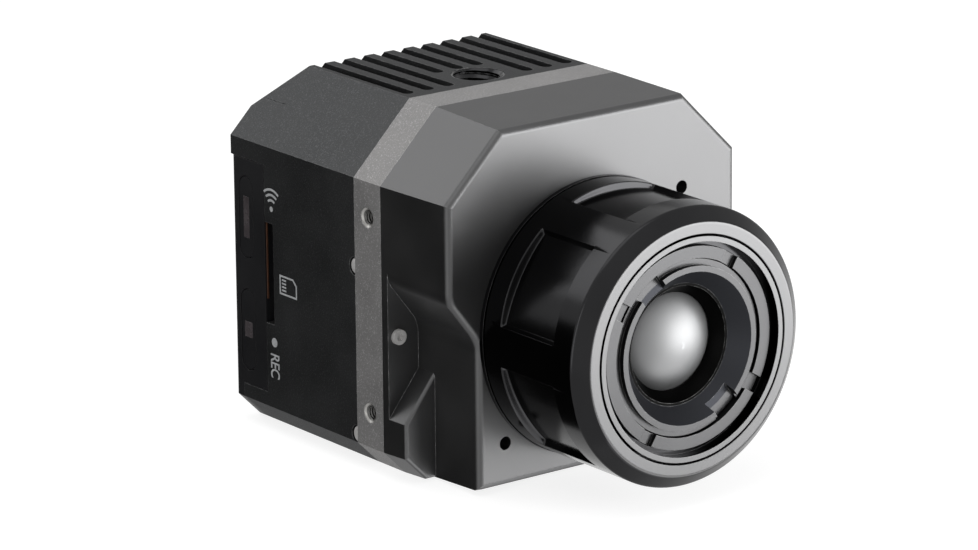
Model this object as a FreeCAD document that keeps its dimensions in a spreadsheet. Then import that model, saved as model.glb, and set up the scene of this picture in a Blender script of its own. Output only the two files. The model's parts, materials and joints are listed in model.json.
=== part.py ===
import FreeCAD, Part
import math
import os
import re

import Sketcher

# A small thermal imaging camera with a manual focus lens, as an assembly of separate pieces.
#
# Frame: X to the right seen from the lens side, Y to the rear, Z up. The lens looks along -Y.
# The origin lies on the base plane, straight below the axis of the tripod thread.

# Driving dimensions, in millimetres and degrees
SIZES = {
    # Case outline, seen along the lens axis
    "case_width": 44.45,
    "case_height": 45.2,
    "corner_cut": 8.5,
    "foot_cut": 3.1,
    "lens_height": 19.6,
    # Depths along the lens axis
    "thread_setback": 4.4,
    "ring_depth": 5.4,
    "nose_depth": 13.2,
    "housing_depth": 26.2,
    # Walls of the cast housing
    "wall": 1.7,
    "top_wall": 4.6,
    "rear_bevel": 5.3,
    "edge_round": 0.8,
    # Cooling slots
    "slot_shoulder": 1.525,
    "slot_width": 1.6,
    "slot_depth": 3.2,
    "slot_front": -2.7,
    "middle_slot_front": 3.5,
    # Tripod thread
    "thread_core": 2.49,
    "thread_length": 7.0,
    "insert_radius": 3.35,
    "insert_flange": 4.4,
    "insert_flange_depth": 2.6,
    "insert_drop": 0.05,
    "insert_floor": 0.9,
    "boss_half_width": 5.4,
    "boss_rear": 5.0,
    # Rear cover
    "plate_depth": 1.9,
    "tongue_front": 14.8,
    "tongue_foot": 5.0,
    "tongue_drop": 10.9,
    "seam_gap": 0.1,
    # Frame ring
    "ring_wall": 3.2,
    "ring_corner_wall": 5.2,
    "ring_gusset": 4.6,
    "ring_hole_y": -7.1,
    "side_hole_low": 7.5,
    "side_hole_spacing": 24.7,
    "tapped_core": 0.8,
    "tapped_mouth": 1.3,
    "tapped_depth": 2.4,
    "countersink": 0.35,
    "tab_low": 4.1,
    "tab_high": 25.5,
    "tab_radius": 1.1,
    "tab_inset": 0.3,
    "tab_depth": 0.7,
    # Gaskets
    "gasket_inset": 1.05,
    "gasket_width": 0.55,
    "nose_gasket_inset": 0.3,
    "nose_gasket_width": 0.42,
    "gasket_depth": 0.6,
    "gasket_play": 0.02,
    # Front cover
    "draft_top": 0.33,
    "draft_side": 0.18,
    "draft_bottom": 0.58,
    "cover_wall": 1.6,
    "front_plate": 2.0,
    "recess_inset": 4.525,
    "recess_top": 25.1,
    "recess_foot": 19.25,
    "recess_round_top": 3.0,
    "recess_round_foot": 4.0,
    "flange_depth": 1.2,
    "block_depth": 4.5,
    "block_round": 0.4,
    "block_top_outer": 7.6,
    "block_top_inner": 13.4,
    "accessory_offset": 13.66,
    "accessory_core": 0.85,
    "accessory_depth": 2.4,
    "accessory_boss": 2.0,
    # Lens collar, the nose that the focus ring turns on
    "collar_flange_rim": 0.1,
    "collar_flange_depth": 0.6,
    "shoulder_inset": 1.1,
    "shoulder_depth": 2.2,
    "sleeve_inset": 2.7,
    "sleeve_front": -38.0,
    "spigot_inset": 3.4,
    "spigot_depth": 1.4,
    "running_fit": 0.05,
    "collar_screw_inset": 2.3,
    # Focus ring
    "barrel_radius": 17.3,
    "barrel_front": -42.05,
    "barrel_gap": 0.15,
    "bevel_start": -40.45,
    "bevel_inset": 1.75,
    "mouth_inset": 3.2,
    "pocket_depth": 1.0,
    "pocket_rear": -26.75,
    "pocket_front": -37.0,
    "pocket_angle": 43,
    "pocket_slope": 0.8,
    "finger_pockets": 6,
    # Snap ring that keeps the focus ring on the collar
    "clip_inner_inset": 3.2,
    "clip_outer_inset": 2.1,
    "clip_front": -37.2,
    "clip_width": 0.9,
    "clip_opening": 5.0,
    # Focus cam: pins in straight collar slots and a groove of the focus ring
    "pin_radius": 0.7,
    "pin_y": -29.0,
    "pin_inset": 1.85,
    "pin_foot_inset": 5.7,
    "focus_travel": 0.8,
    "cam_inset": 1.7,
    # Lens cell
    "cell_inset": 4.05,
    "cell_rear": -24.5,
    "lip_inset": 3.45,
    "lip_rear": -38.3,
    "lip_bore_inset": 4.1,
    "outer_seat_inset": 4.77,
    "outer_seat_front": -40.5,
    "outer_seat_rear": -38.6,
    "inner_seat_inset": 6.35,
    "inner_seat_rear": -36.75,
    "front_glass_bore": 7.75,
    "spacer_seat": -31.2,
    "stop_radius": 5.0,
    "rear_glass_seat": -29.2,
    "rear_glass_bore": 7.0,
    # Retaining rings in the lens front
    "outer_ring_inset": 4.8,
    "outer_bore_inset": 6.3,
    "outer_ring_face": -41.2,
    "spanner_slot_width": 2.1,
    "cut_over": 0.5,
    "spanner_slot_depth": 0.6,
    "spanner_angle": 58,
    "inner_ring_inset": 6.43,
    "inner_ring_face": -41.5,
    "inner_rim": 1.46,
    "funnel_foot": 7.57,
    "funnel_foot_y": -39.2,
    "lens_window": 6.05,
    "lens_window_y": -37.5,
    "notch_width": 3.7,
    "notch_depth": 1.2,
    "notch_angle": 125,
    "inner_step_inset": 0.72,
    "inner_step": 0.7,
    "funnel_land": 0.35,
    "seat_land": 0.75,
    # Glass
    "dome_sphere": 8.5,
    "dome_apex": -39.92,
    "front_glass_radius": 7.7,
    "front_glass_rear": -32.5,
    "front_glass_hollow": 12.0,
    "rear_glass_radius": 6.95,
    "rear_glass_depth": 2.6,
    "rear_glass_sphere": 18.0,
    "spacer_bore": 6.2,
    "glass_play": 0.02,
    "dome_seat": 0.6,
    "rear_ring_width": 1.8,
    "rear_ring_land": 0.75,
    "glass_rim": 1.0,
    # Shutter
    "shutter_plate_front": -18.6,
    "shutter_plate_depth": 0.8,
    "shutter_aperture": 6.4,
    "shutter_inset": 8.025,
    "shutter_bottom": 8.2,
    "shutter_foot_radius": 1.2,
    "shutter_drop": 5.6,
    "flag_gap": 0.35,
    "flag_depth": 0.4,
    "flag_radius": 7.2,
    "flag_hub": 2.0,
    "flag_arm": 3.2,
    "shutter_pivot_x": 9.0,
    "shutter_pivot_drop": 9.2,
    "shutter_pin": 0.9,
    "flag_open_x": -9.35,
    "coil_reach": 4.5,
    "coil_side": 2.0,
    "coil_drop": 2.6,
    "coil_rise": 3.0,
    "coil_gap": 0.7,
    "pivot_end": 0.5,
    "shutter_foot_inset": 1.6,
    "flag_open_drop": 12.85,
    # Detector
    "package_width": 16.0,
    "package_depth": 2.9,
    "window_width": 11.0,
    "window_thickness": 0.7,
    # Boards
    "board_depth": 1.2,
    "board_inset": 6.825,
    "board_bottom": 3.6,
    "sensor_board_drop": 8.7,
    "sensor_board_y": -13.5,
    "processor_board_y": -2.0,
    "processor_board_drop": 9.6,
    "socket_board_y": 14.75,
    "socket_board_drop": 10.2,
    "socket_board_inset": 2.025,
    "standoff_inset": 9.625,
    "standoff_low": 6.0,
    "standoff_drop": 13.2,
    "standoff_radius": 1.7,
    "stud_radius": 1.0,
    "stud_free": 3.0,
    "front_socket": 4.5,
    "rear_socket": 3.5,
    "hole_play": 0.08,
    # Lugs in the housing that carry the boards and the rear cover
    "lug_inner_inset": 11.625,
    "lug_outer_inset": 4.325,
    "lug_low_top": 7.9,
    "lug_high_drop": 15.6,
    "cover_screw_inset": 6.325,
    # Posts in the housing for the ring's screws
    "corner_screw_inset": 3.2,
    "foot_screw_inset": 3.825,
    "foot_screw_z": 3.9,
    "post_radius": 2.2,
    "post_depth": 8.0,
    # Screws
    "small_screw_radius": 0.6,
    "small_head_radius": 0.95,
    "small_head_depth": 0.55,
    "screw_head_radius": 1.4,
    "screw_head_depth": 1.0,
    "screw_clearance": 0.3,
    "seat_play": 0.15,
    "thread_play": 0.02,
    "nose_screw_z": 17.9,
    "nose_screw_inset": 1.45,
    "socket_across": 0.65,
    "nose_screw_length": 3.2,
    "frame_screw_length": 6.0,
    "board_screw_length": 4.0,
    # Buttons
    "button_y": 18.7,
    "button_share": 0.355,
    "button_width": 2.87,
    "button_gap": 0.12,
    "button_flange": 0.7,
    "button_flange_depth": 0.6,
    "button_travel": 0.35,
    "button_setback": 0.03,
    "button_stem": 0.8,
    "wireless_button_share": 0.7406,
    "record_button_share": 0.2423,
    "window_depth": 0.5,
    "switch_inset": 3.325,
    "switch_depth": 2.5,
    "switch_height": 4.5,
    "plunger_radius": 0.55,
    "plunger_length": 1.4,
    "plunger_proud": 0.4,
    "switch_gap": 0.12,
    "led_proud": 0.4,
    "led_length": 1.0,
    "led_depth": 0.6,
    "led_height": 1.2,
    "led_gap": 0.6,
    "wireless_window_length": 5.3,
    "wireless_window_width": 1.2,
    "record_window_length": 2.0,
    "record_window_width": 1.7,
    # Card slot and socket
    "slot_y": 12.95,
    "slot_low": 14.0,
    "slot_high": 27.0,
    "socket_reach": 14.6,
    "socket_wall": 0.3,
    "socket_end": 0.8,
    "socket_play": 0.06,
    # Rear sockets
    "usb_z": 10.0,
    "usb_width": 7.7,
    "usb_height": 3.9,
    "usb_length": 8.4,
    "usb_wall": 0.4,
    "usb_room": 0.6,
    "usb_setback": 0.2,
    "usb_floor": 2.0,
    "usb_tongue_inset": 1.6,
    "usb_tongue_root": 1.5,
    "usb_tongue_setback": 0.8,
    "usb_tongue_low": 0.1,
    "usb_tongue_high": 0.7,
    "coax_x": 7.5,
    "coax_z": 21.0,
    "coax_radius": 1.8,
    "coax_base": 2.4,
    "coax_base_depth": 2.0,
    "coax_wall": 0.45,
    "coax_depth": 3.0,
    "coax_pin": 0.3,
    "coax_pin_root": 0.4,
    "plug_room": 3.1,
    # Heat path
    "chip_size": 12.0,
    "chip_depth": 1.1,
    "chip_z": 21.0,
    "memory_reach": 10.0,
    "memory_width": 8.0,
    "memory_height": 10.0,
    "memory_depth": 1.0,
    "sensor_link_half_width": 7.0,
    "sensor_link_rise": 3.0,
    "sensor_link_height": 2.5,
    "socket_link_inset": 1.0,
    "socket_link_width": 2.4,
    "socket_link_low": 12.0,
    "socket_link_high": 26.0,
    "module_width": 11.0,
    "module_depth": 1.6,
    "module_rise": 1.0,
    "module_height": 9.0,
    "pad_depth": 0.5,
    "spreader_half_width": 8.5,
    "spreader_depth": 2.0,
    "ledge_gap": 0.4,
    "boss_gap": 0.5,
    "spreader_rear": 12.0,
}

# Sizes that follow from the driving ones, each a fixed step inside the case or the barrel
FOLLOWS = {
    "cover_screw_x": "(case_width / 2 - cover_screw_inset)",
    "foot_screw_x": "(case_width / 2 - foot_screw_inset)",
    "switch_face": "(case_width / 2 - switch_inset)",
    "lug_outer": "(case_width / 2 - lug_outer_inset)",
    "standoff_x": "(case_width / 2 - standoff_inset)",
    "lug_inner": "(case_width / 2 - lug_inner_inset)",
    "socket_board_half_width": "(case_width / 2 - socket_board_inset)",
    "board_half_width": "(case_width / 2 - board_inset)",
    "sensor_board_top": "(case_height - sensor_board_drop)",
    "processor_board_top": "(case_height - processor_board_drop)",
    "socket_board_top": "(case_height - socket_board_drop)",
    "standoff_high": "(case_height - standoff_drop)",
    "shutter_top": "(case_height - shutter_drop)",
    "shutter_pivot_z": "(case_height - shutter_pivot_drop)",
    "flag_open_z": "(case_height - flag_open_drop)",
    "lug_high_foot": "(case_height - lug_high_drop)",
    "tongue_top": "(case_height - tongue_drop)",
    "collar_flange": "(barrel_radius + collar_flange_rim)",
    "shoulder_radius": "(barrel_radius - shoulder_inset)",
    "sleeve_radius": "(barrel_radius - sleeve_inset)",
    "spigot_radius": "(barrel_radius - spigot_inset)",
    "collar_screw_circle": "(barrel_radius - collar_screw_inset)",
    "bevel_radius": "(barrel_radius - bevel_inset)",
    "mouth_radius": "(barrel_radius - mouth_inset)",
    "clip_inner": "(barrel_radius - clip_inner_inset)",
    "clip_outer": "(barrel_radius - clip_outer_inset)",
    "cam_depth": "(barrel_radius - cam_inset)",
    "pin_reach": "(barrel_radius - pin_inset)",
    "cell_radius": "(barrel_radius - cell_inset)",
    "lip_radius": "(barrel_radius - lip_inset)",
    "lip_bore": "(barrel_radius - lip_bore_inset)",
    "outer_seat": "(barrel_radius - outer_seat_inset)",
    "outer_ring_radius": "(barrel_radius - outer_ring_inset)",
    "outer_ring_bore": "(barrel_radius - outer_bore_inset)",
    "inner_seat": "(barrel_radius - inner_seat_inset)",
    "inner_ring_radius": "(barrel_radius - inner_ring_inset)",
    "recess_side": "(case_width / 2 - recess_inset)",
    "shutter_half_width": "(case_width / 2 - shutter_inset)",
    "pin_foot": "(barrel_radius - pin_foot_inset)",
    "funnel_mouth": "(inner_ring_radius - inner_rim)",
    "button_length": "((tongue_top - tongue_foot) * button_share)",
    "wireless_button_z": "(tongue_foot + (tongue_top - tongue_foot) * wireless_button_share)",
    "record_button_z": "(tongue_foot + (tongue_top - tongue_foot) * record_button_share)",
    "slot_pitch": "((case_width / 2 - corner_cut - slot_shoulder) / 4)",
}

doc = FreeCAD.newDocument("thermal_camera")
sheet = doc.addObject("Spreadsheet::Sheet", "dims")
sheet.set("A1", "size")
sheet.set("B1", "value")
for row, (name, value) in enumerate(SIZES.items(), start=2):
    sheet.set("A%d" % row, name)
    sheet.set("B%d" % row, str(value))
    sheet.setAlias("B%d" % row, name)
doc.recompute()

nodes = []


def ref(text):
    """Turns the size names in an expression into references to the sheet."""
    def point(word):
        if word.group() in FOLLOWS:
            return ref(FOLLOWS[word.group()])
        return "dims." + word.group() if word.group() in SIZES else word.group()
    return re.sub(r"[a-z_]+", point, text)


def val(text):
    """The number that an expression of sizes gives."""
    return float(sheet.evalExpression(ref(text)))


def bind(thing, prop, text):
    """Ties a property to an expression of sizes."""
    thing.setExpression(prop, ref(text))


def keep(thing, label):
    """Marks a finished piece, which becomes one node of the assembly."""
    thing.Label = label
    nodes.append(thing)
    return thing


# Places along the lens axis, worked out from the depths
ring_rear = "(0 - thread_setback)"
ring_front = "(0 - thread_setback - ring_depth)"
nose_front = "(0 - thread_setback - ring_depth - nose_depth)"
case_rear = "(housing_depth - thread_setback)"
plate_inner = "(housing_depth - thread_setback - plate_depth)"
half_width = "(case_width / 2)"


# Sketches and features of a body

def new_body(label):
    body = doc.addObject("PartDesign::Body", label)
    return keep(body, label)


def origin_feature(body, role):
    return [item for item in body.Origin.OriginFeatures if item.Role == role][0]


def new_sketch(body, name, role, at="0"):
    """A sketch on one of the body's origin planes, moved along the plane's normal axis to at."""
    sketch = body.newObject("Sketcher::SketchObject", body.Name + "_" + name)
    sketch.AttachmentSupport = (origin_feature(body, role), [""])
    sketch.MapMode = "FlatFace"
    shift = "0 - (%s)" % at if role == "XZ_Plane" else at
    if at != "0":
        bind(sketch, "AttachmentOffset.Base.z", shift)
        sketch.AttachmentOffset = FreeCAD.Placement(
            FreeCAD.Vector(0, 0, val(shift)), FreeCAD.Rotation())
    return sketch


def pin(sketch, shape_index, end, x, y):
    """Fixes a point of a sketch at two expressions, counted from the sketch's origin."""
    for kind, text, axis in (("DistanceX", x, -2), ("DistanceY", y, -1)):
        if text is None:
            continue
        if text == "0":
            sketch.addConstraint(Sketcher.Constraint("PointOnObject", shape_index, end, axis))
            continue
        number = sketch.addConstraint(
            Sketcher.Constraint(kind, -1, 1, shape_index, end, val(text)))
        bind(sketch, "Constraints[%d]" % number, text)


def draw(sketch, stops):
    """Draws a closed outline. A stop is (x, y) at the end of a straight run, or
    (x, y, centre x, centre y, turn) at the end of an arc, where turn is 1 counterclockwise."""
    ends = []
    count = len(stops)
    for index, stop in enumerate(stops):
        before = stops[index - 1]
        start = FreeCAD.Vector(val(before[0]), val(before[1]), 0)
        end = FreeCAD.Vector(val(stop[0]), val(stop[1]), 0)
        if len(stop) == 2:
            number = sketch.addGeometry(Part.LineSegment(start, end), False)
            ends.append((number, 1, 2))
            continue
        centre = FreeCAD.Vector(val(stop[2]), val(stop[3]), 0)
        circle = Part.Circle(centre, FreeCAD.Vector(0, 0, 1), (start - centre).Length)
        angles = [math.atan2(point.y - centre.y, point.x - centre.x) for point in (start, end)]
        if stop[4] < 0:
            angles.reverse()
        number = sketch.addGeometry(Part.ArcOfCircle(circle, angles[0], angles[1]), False)
        ends.append((number, 1, 2) if stop[4] > 0 else (number, 2, 1))
    for index in range(count):
        here = ends[index]
        after = ends[(index + 1) % count]
        sketch.addConstraint(
            Sketcher.Constraint("Coincident", here[0], here[2], after[0], after[1]))
    for index, stop in enumerate(stops):
        pin(sketch, ends[index][0], ends[index][2], stop[0], stop[1])
        if len(stop) > 2:
            before = stops[index - 1]
            wide = abs(val(stop[0]) - val(before[0])) > abs(val(stop[1]) - val(before[1]))
            pin(sketch, ends[index][0], 3, None if wide else stop[2], stop[3] if wide else None)


def draw_circle(sketch, x, y, radius):
    centre = FreeCAD.Vector(val(x), val(y), 0)
    number = sketch.addGeometry(Part.Circle(centre, FreeCAD.Vector(0, 0, 1), val(radius)), False)
    pin(sketch, number, 3, x, y)
    size = sketch.addConstraint(Sketcher.Constraint("Radius", number, val(radius)))
    bind(sketch, "Constraints[%d]" % size, radius)


def draw_box(sketch, left, low, right, high):
    draw(sketch, [(left, low), (right, low), (right, high), (left, high)])


def finish(body, feature, grows):
    """Recomputes a new feature and checks that it added or took material as it should."""
    before = body.Shape.Volume if body.Shape and not body.Shape.isNull() else 0.0
    body.Tip = feature
    doc.recompute()
    change = body.Shape.Volume - before
    if abs(change) < 1e-4 or (grows is not None and (change > 0) != grows):
        raise RuntimeError("%s of %s changed the volume by %.4f" % (feature.Name, body.Label, change))
    return feature


def pad(body, sketch, length, back=False):
    """Adds material along the plane's normal, or against it with back."""
    feature = body.newObject("PartDesign::Pad", sketch.Name + "_pad")
    feature.Profile = sketch
    feature.Reversed = back
    feature.Length = val(length)
    bind(feature, "Length", length)
    return finish(body, feature, True)


def pocket(body, sketch, length, along=False):
    """Takes material against the plane's normal, or along it with along."""
    feature = body.newObject("PartDesign::Pocket", sketch.Name + "_pocket")
    feature.Profile = sketch
    feature.Reversed = along
    feature.Length = val(length)
    bind(feature, "Length", length)
    return finish(body, feature, False)


def turn(body, sketch, cut=False, angle=None):
    """Turns a profile of the YZ plane about the body's Y axis."""
    kind = "Groove" if cut else "Revolution"
    feature = body.newObject("PartDesign::" + kind, sketch.Name + "_turned")
    feature.Profile = sketch
    feature.ReferenceAxis = (origin_feature(body, "Y_Axis"), [""])
    feature.Midplane = angle is not None
    feature.Angle = 360 if angle is None else val(angle)
    if angle is not None:
        bind(feature, "Angle", angle)
    return finish(body, feature, not cut)


def around(body, feature, count):
    """Repeats a feature evenly about the body's Y axis."""
    pattern = body.newObject("PartDesign::PolarPattern", feature.Name + "_around")
    pattern.Originals = [feature]
    pattern.Axis = (origin_feature(body, "Y_Axis"), [""])
    pattern.Angle = 360
    pattern.Occurrences = int(val(count))
    bind(pattern, "Occurrences", count)
    return finish(body, pattern, False)


def along_x(body, feature, length, count):
    """Repeats a feature evenly along X."""
    pattern = body.newObject("PartDesign::LinearPattern", feature.Name + "_row")
    pattern.Originals = [feature]
    pattern.Direction = (origin_feature(body, "X_Axis"), [""])
    pattern.Length = val(length)
    bind(pattern, "Length", length)
    pattern.Occurrences = count
    return finish(body, pattern, False)


def round_edges(body, radius, chosen, name, grows=False):
    """Fillets the edges of the body whose middle point passes the test."""
    base = body.Tip
    names = []
    for index, edge in enumerate(base.Shape.Edges, start=1):
        middle = edge.valueAt((edge.FirstParameter + edge.LastParameter) / 2)
        if chosen(middle, edge):
            names.append("Edge%d" % index)
    feature = body.newObject("PartDesign::Fillet", body.Name + "_" + name)
    feature.Base = (base, names)
    feature.Radius = val(radius)
    bind(feature, "Radius", radius)
    return finish(body, feature, grows)


# Plain solids and their joining

AXES = {
    "x": FreeCAD.Rotation(FreeCAD.Vector(0, 0, 1), FreeCAD.Vector(1, 0, 0)),
    "y": FreeCAD.Rotation(FreeCAD.Vector(0, 0, 1), FreeCAD.Vector(0, 1, 0)),
    "z": FreeCAD.Rotation(),
}


def place(thing, x, y, z, rotation=FreeCAD.Rotation()):
    thing.Placement = FreeCAD.Placement(FreeCAD.Vector(val(x), val(y), val(z)), rotation)
    for axis, text in (("x", x), ("y", y), ("z", z)):
        bind(thing, "Placement.Base." + axis, text)
    return thing


def box(name, x_range, y_range, z_range):
    """A box between two expressions on each axis."""
    thing = doc.addObject("Part::Box", name)
    for prop, (low, high) in zip(("Length", "Width", "Height"), (x_range, y_range, z_range)):
        bind(thing, prop, "(%s) - (%s)" % (high, low))
    return place(thing, x_range[0], y_range[0], z_range[0])


def rod(name, axis, radius, length, x, y, z):
    """A cylinder from a point along the positive axis."""
    thing = doc.addObject("Part::Cylinder", name)
    bind(thing, "Radius", radius)
    bind(thing, "Height", length)
    return place(thing, x, y, z, AXES[axis])


def fused(name, things):
    thing = doc.addObject("Part::MultiFuse", name)
    thing.Shapes = things
    return thing


def without(name, base, tools):
    thing = doc.addObject("Part::Cut", name)
    thing.Base = base
    thing.Tool = tools[0] if len(tools) == 1 else fused(name + "_tools", tools)
    return thing


def group(label, things):
    """Several alike solids that share one node."""
    thing = doc.addObject("Part::Compound", label)
    thing.Links = things
    return keep(thing, label)


def inset_outline(inset, top_inset=None):
    """The case's eight-sided outline, moved inward by inset."""
    top_inset = top_inset or inset
    side = "(case_width / 2 - %s)" % inset
    top = "(case_height - %s)" % top_inset
    low = "(%s)" % inset
    cut = "(corner_cut - %s - %s + %s * sqrt(2))" % (inset, top_inset, inset)
    foot = "(foot_cut - 2 * %s + %s * sqrt(2))" % (inset, inset)
    return eight_sided(side, low, top, cut, foot)


def eight_sided(side, low, top, cut, foot):
    return [
        ("%s - %s" % (side, foot), low),
        (side, "%s + %s" % (low, foot)),
        (side, "%s - %s" % (top, cut)),
        ("%s - %s" % (side, cut), top),
        ("%s - %s" % (cut, side), top),
        ("0 - %s" % side, "%s - %s" % (top, cut)),
        ("0 - %s" % side, "%s + %s" % (low, foot)),
        ("%s - %s" % (foot, side), low),
    ]


# Screw places that several pieces share, as (x, z)
corner_x = "(case_width / 2 - corner_cut / 2 - corner_screw_inset / sqrt(2))"
corner_z = "(case_height - corner_cut / 2 - corner_screw_inset / sqrt(2))"
frame_screw_places = [
    (corner_x, corner_z), ("0 - " + corner_x, corner_z),
    ("foot_screw_x", "foot_screw_z"), ("0 - foot_screw_x", "foot_screw_z"),
]
standoff_places = [
    ("standoff_x", "standoff_low"), ("0 - standoff_x", "standoff_low"),
    ("standoff_x", "standoff_high"), ("0 - standoff_x", "standoff_high"),
]
cover_screw_places = [
    ("cover_screw_x", "foot_screw_z"), ("0 - cover_screw_x", "foot_screw_z"),
    ("cover_screw_x", "standoff_high"), ("0 - cover_screw_x", "standoff_high"),
]
button_places = {"wireless": "wireless_button_z", "record": "record_button_z"}


# Rear housing: the finned casting behind the frame ring
housing = new_body("rear_housing")
sketch = new_sketch(housing, "outline", "XZ_Plane", ring_rear)
draw(sketch, inset_outline("0"))
pad(housing, sketch, "housing_depth", back=True)

sketch = new_sketch(housing, "rear_bevel", "YZ_Plane", "case_width")
draw(sketch, [
    ("%s - rear_bevel" % case_rear, "case_height"),
    ("%s + 1" % case_rear, "case_height - rear_bevel - 1"),
    ("%s + 1" % case_rear, "case_height + 1"),
    ("%s - rear_bevel" % case_rear, "case_height + 1"),
])
pocket(housing, sketch, "2 * case_width")

sketch = new_sketch(housing, "cavity", "XZ_Plane", ring_rear)
draw(sketch, inset_outline("wall", "top_wall"))
pocket(housing, sketch, "housing_depth - plate_depth")

# Posts for the ring's screws, and the block that holds the tripod insert
sketch = new_sketch(housing, "posts", "XZ_Plane", ring_rear)
for x, z in frame_screw_places:
    draw_circle(sketch, x, z, "post_radius")
pad(housing, sketch, "post_depth", back=True)

sketch = new_sketch(housing, "insert_block", "XY_Plane",
                    "case_height - insert_drop - thread_length")
draw_box(sketch, "0 - boss_half_width", ring_rear, "boss_half_width", "boss_rear")
pad(housing, sketch, "thread_length + insert_drop - top_wall + 0.5")

# Lugs: the lower pair stands on the floor, the upper pair hangs from the roof
sketch = new_sketch(housing, "lugs", "XZ_Plane", plate_inner)
for side in ("", "0 - "):
    edges = [side + "lug_inner", side + "lug_outer"]
    if side:
        edges.reverse()
    draw_box(sketch, edges[0], "wall - 0.5", edges[1], "lug_low_top")
    draw_box(sketch, edges[0], "lug_high_foot", edges[1], "case_height - top_wall + 0.5")
pad(housing, sketch, "%s - socket_board_y - board_depth" % plate_inner)

# Room for the rear cover: its plate, and its tongue down each side
sketch = new_sketch(housing, "plate_room", "XZ_Plane", "%s + 1" % case_rear)
draw_box(sketch, "0 - case_width", "0 - 1", "case_width", "tongue_top")
pocket(housing, sketch, "plate_depth + 1", along=True)

sketch = new_sketch(housing, "tongue_room", "YZ_Plane", half_width)
draw_box(sketch, "tongue_front - seam_gap", "tongue_foot - seam_gap",
         "%s + 1" % case_rear, "tongue_top")
pocket(housing, sketch, "wall")
sketch = new_sketch(housing, "left_tongue_room", "YZ_Plane", "0 - case_width / 2")
draw_box(sketch, "tongue_front - seam_gap", "tongue_foot - seam_gap",
         "%s + 1" % case_rear, "tongue_top")
pocket(housing, sketch, "wall", along=True)

# Card slot, open towards the cover's tongue
sketch = new_sketch(housing, "card_slot", "YZ_Plane", "0 - case_width / 2")
draw_box(sketch, "slot_y", "slot_low", "tongue_front", "slot_high")
pocket(housing, sketch, "wall", along=True)

# Screw holes in the posts and lugs
sketch = new_sketch(housing, "post_holes", "XZ_Plane", ring_rear)
for x, z in frame_screw_places:
    draw_circle(sketch, x, z, "tapped_core")
pocket(housing, sketch, "post_depth - 1")

sketch = new_sketch(housing, "lug_holes", "XZ_Plane", "socket_board_y + board_depth")
for x, z in standoff_places:
    draw_circle(sketch, x, z, "stud_radius")
for x, z in cover_screw_places:
    draw_circle(sketch, x, z, "tapped_core")
pocket(housing, sketch, "%s - socket_board_y - board_depth" % plate_inner)

# Seat of the thread insert, which goes in from below until its flange holds it
sketch = new_sketch(housing, "insert_seat", "XY_Plane", "case_height")
draw_circle(sketch, "0", "0", "insert_radius")
pocket(housing, sketch, "insert_drop + thread_length")
sketch = new_sketch(housing, "flange_seat", "XY_Plane",
                    "case_height - insert_drop - thread_length")
draw_circle(sketch, "0", "0", "insert_flange")
pocket(housing, sketch, "insert_flange_depth", along=True)

# Cooling slots, with round front ends, that run out through the rear bevel
slot_groups = [
    ("left_slots", "0 - 4 * slot_pitch", "slot_front"),
    ("middle_slots", "0 - slot_pitch", "middle_slot_front"),
    ("right_slots", "2 * slot_pitch", "slot_front"),
]
for name, first_x, front in slot_groups:
    sketch = new_sketch(housing, name, "XY_Plane", "case_height")
    left = "%s - slot_width / 2" % first_x
    right = "%s + slot_width / 2" % first_x
    centre_y = "%s + slot_width / 2" % front
    draw(sketch, [
        (right, centre_y, first_x, centre_y, 1),
        (right, "%s + 1" % case_rear),
        (left, "%s + 1" % case_rear),
        (left, centre_y),
    ])
    first = pocket(housing, sketch, "slot_depth")
    along_x(housing, first, "2 * slot_pitch", 3)

# Half-round notches for the ring's tabs
for side, name in (("case_width / 2", "right"), ("0 - case_width / 2", "left")):
    sketch = new_sketch(housing, name + "_notches", "YZ_Plane", side)
    for z in ("tab_low", "tab_high"):
        draw_circle(sketch, ring_rear, z, "tab_radius + seam_gap")
    pocket(housing, sketch, "tab_inset + tab_depth + seam_gap", along=(name == "left"))


# Rear cover: a plate with a tongue down each side, which holds the two buttons
cover = new_body("rear_cover")
sketch = new_sketch(cover, "plate", "XZ_Plane", plate_inner)
top = "tongue_top - seam_gap"
draw(sketch, [
    ("case_width / 2 - foot_cut", "0"),
    (half_width, "foot_cut"),
    (half_width, top),
    ("0 - case_width / 2", top),
    ("0 - case_width / 2", "foot_cut"),
    ("foot_cut - case_width / 2", "0"),
])
pad(cover, sketch, "plate_depth", back=True)
round_edges(cover, "edge_round", lambda middle, edge:
            middle.y > val(case_rear) - 0.01 and middle.z < val(top) - 0.01, "rear_round")

sketch = new_sketch(cover, "tongues", "XZ_Plane", "tongue_front")
for low, high in (("case_width / 2 - wall", half_width),
                  ("0 - case_width / 2", "wall - case_width / 2")):
    draw_box(sketch, low, "tongue_foot", high, top)
pad(cover, sketch, "%s - tongue_front + 0.5" % plate_inner, back=True)


def stadium(sketch, centre_y, centre_z, length, width):
    """A slot shape, upright in the YZ plane."""
    left = "%s - %s / 2" % (centre_y, width)
    right = "%s + %s / 2" % (centre_y, width)
    low = "%s - (%s - %s) / 2" % (centre_z, length, width)
    high = "%s + (%s - %s) / 2" % (centre_z, length, width)
    draw(sketch, [
        (right, low, centre_y, low, 1),
        (right, high),
        (left, high, centre_y, high, 1),
        (left, low),
    ])


for name, z in button_places.items():
    sketch = new_sketch(cover, name + "_hole", "YZ_Plane", "0 - case_width / 2")
    stadium(sketch, "button_y", z, "(button_length + 2 * button_gap)",
            "(button_width + 2 * button_gap)")
    pocket(cover, sketch, "wall + button_flange_depth", along=True)
    sketch = new_sketch(cover, name + "_flange_room", "YZ_Plane", "wall - case_width / 2")
    draw_box(sketch, "button_y - button_width / 2 - button_flange - button_gap",
             "%s - button_length / 2 - button_flange - button_gap" % z,
             "button_y + button_width / 2 + button_flange + button_gap",
             "%s + button_length / 2 + button_flange + button_gap" % z)
    pocket(cover, sketch, "button_flange_depth + button_travel + 2 * button_gap", along=True)

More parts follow.
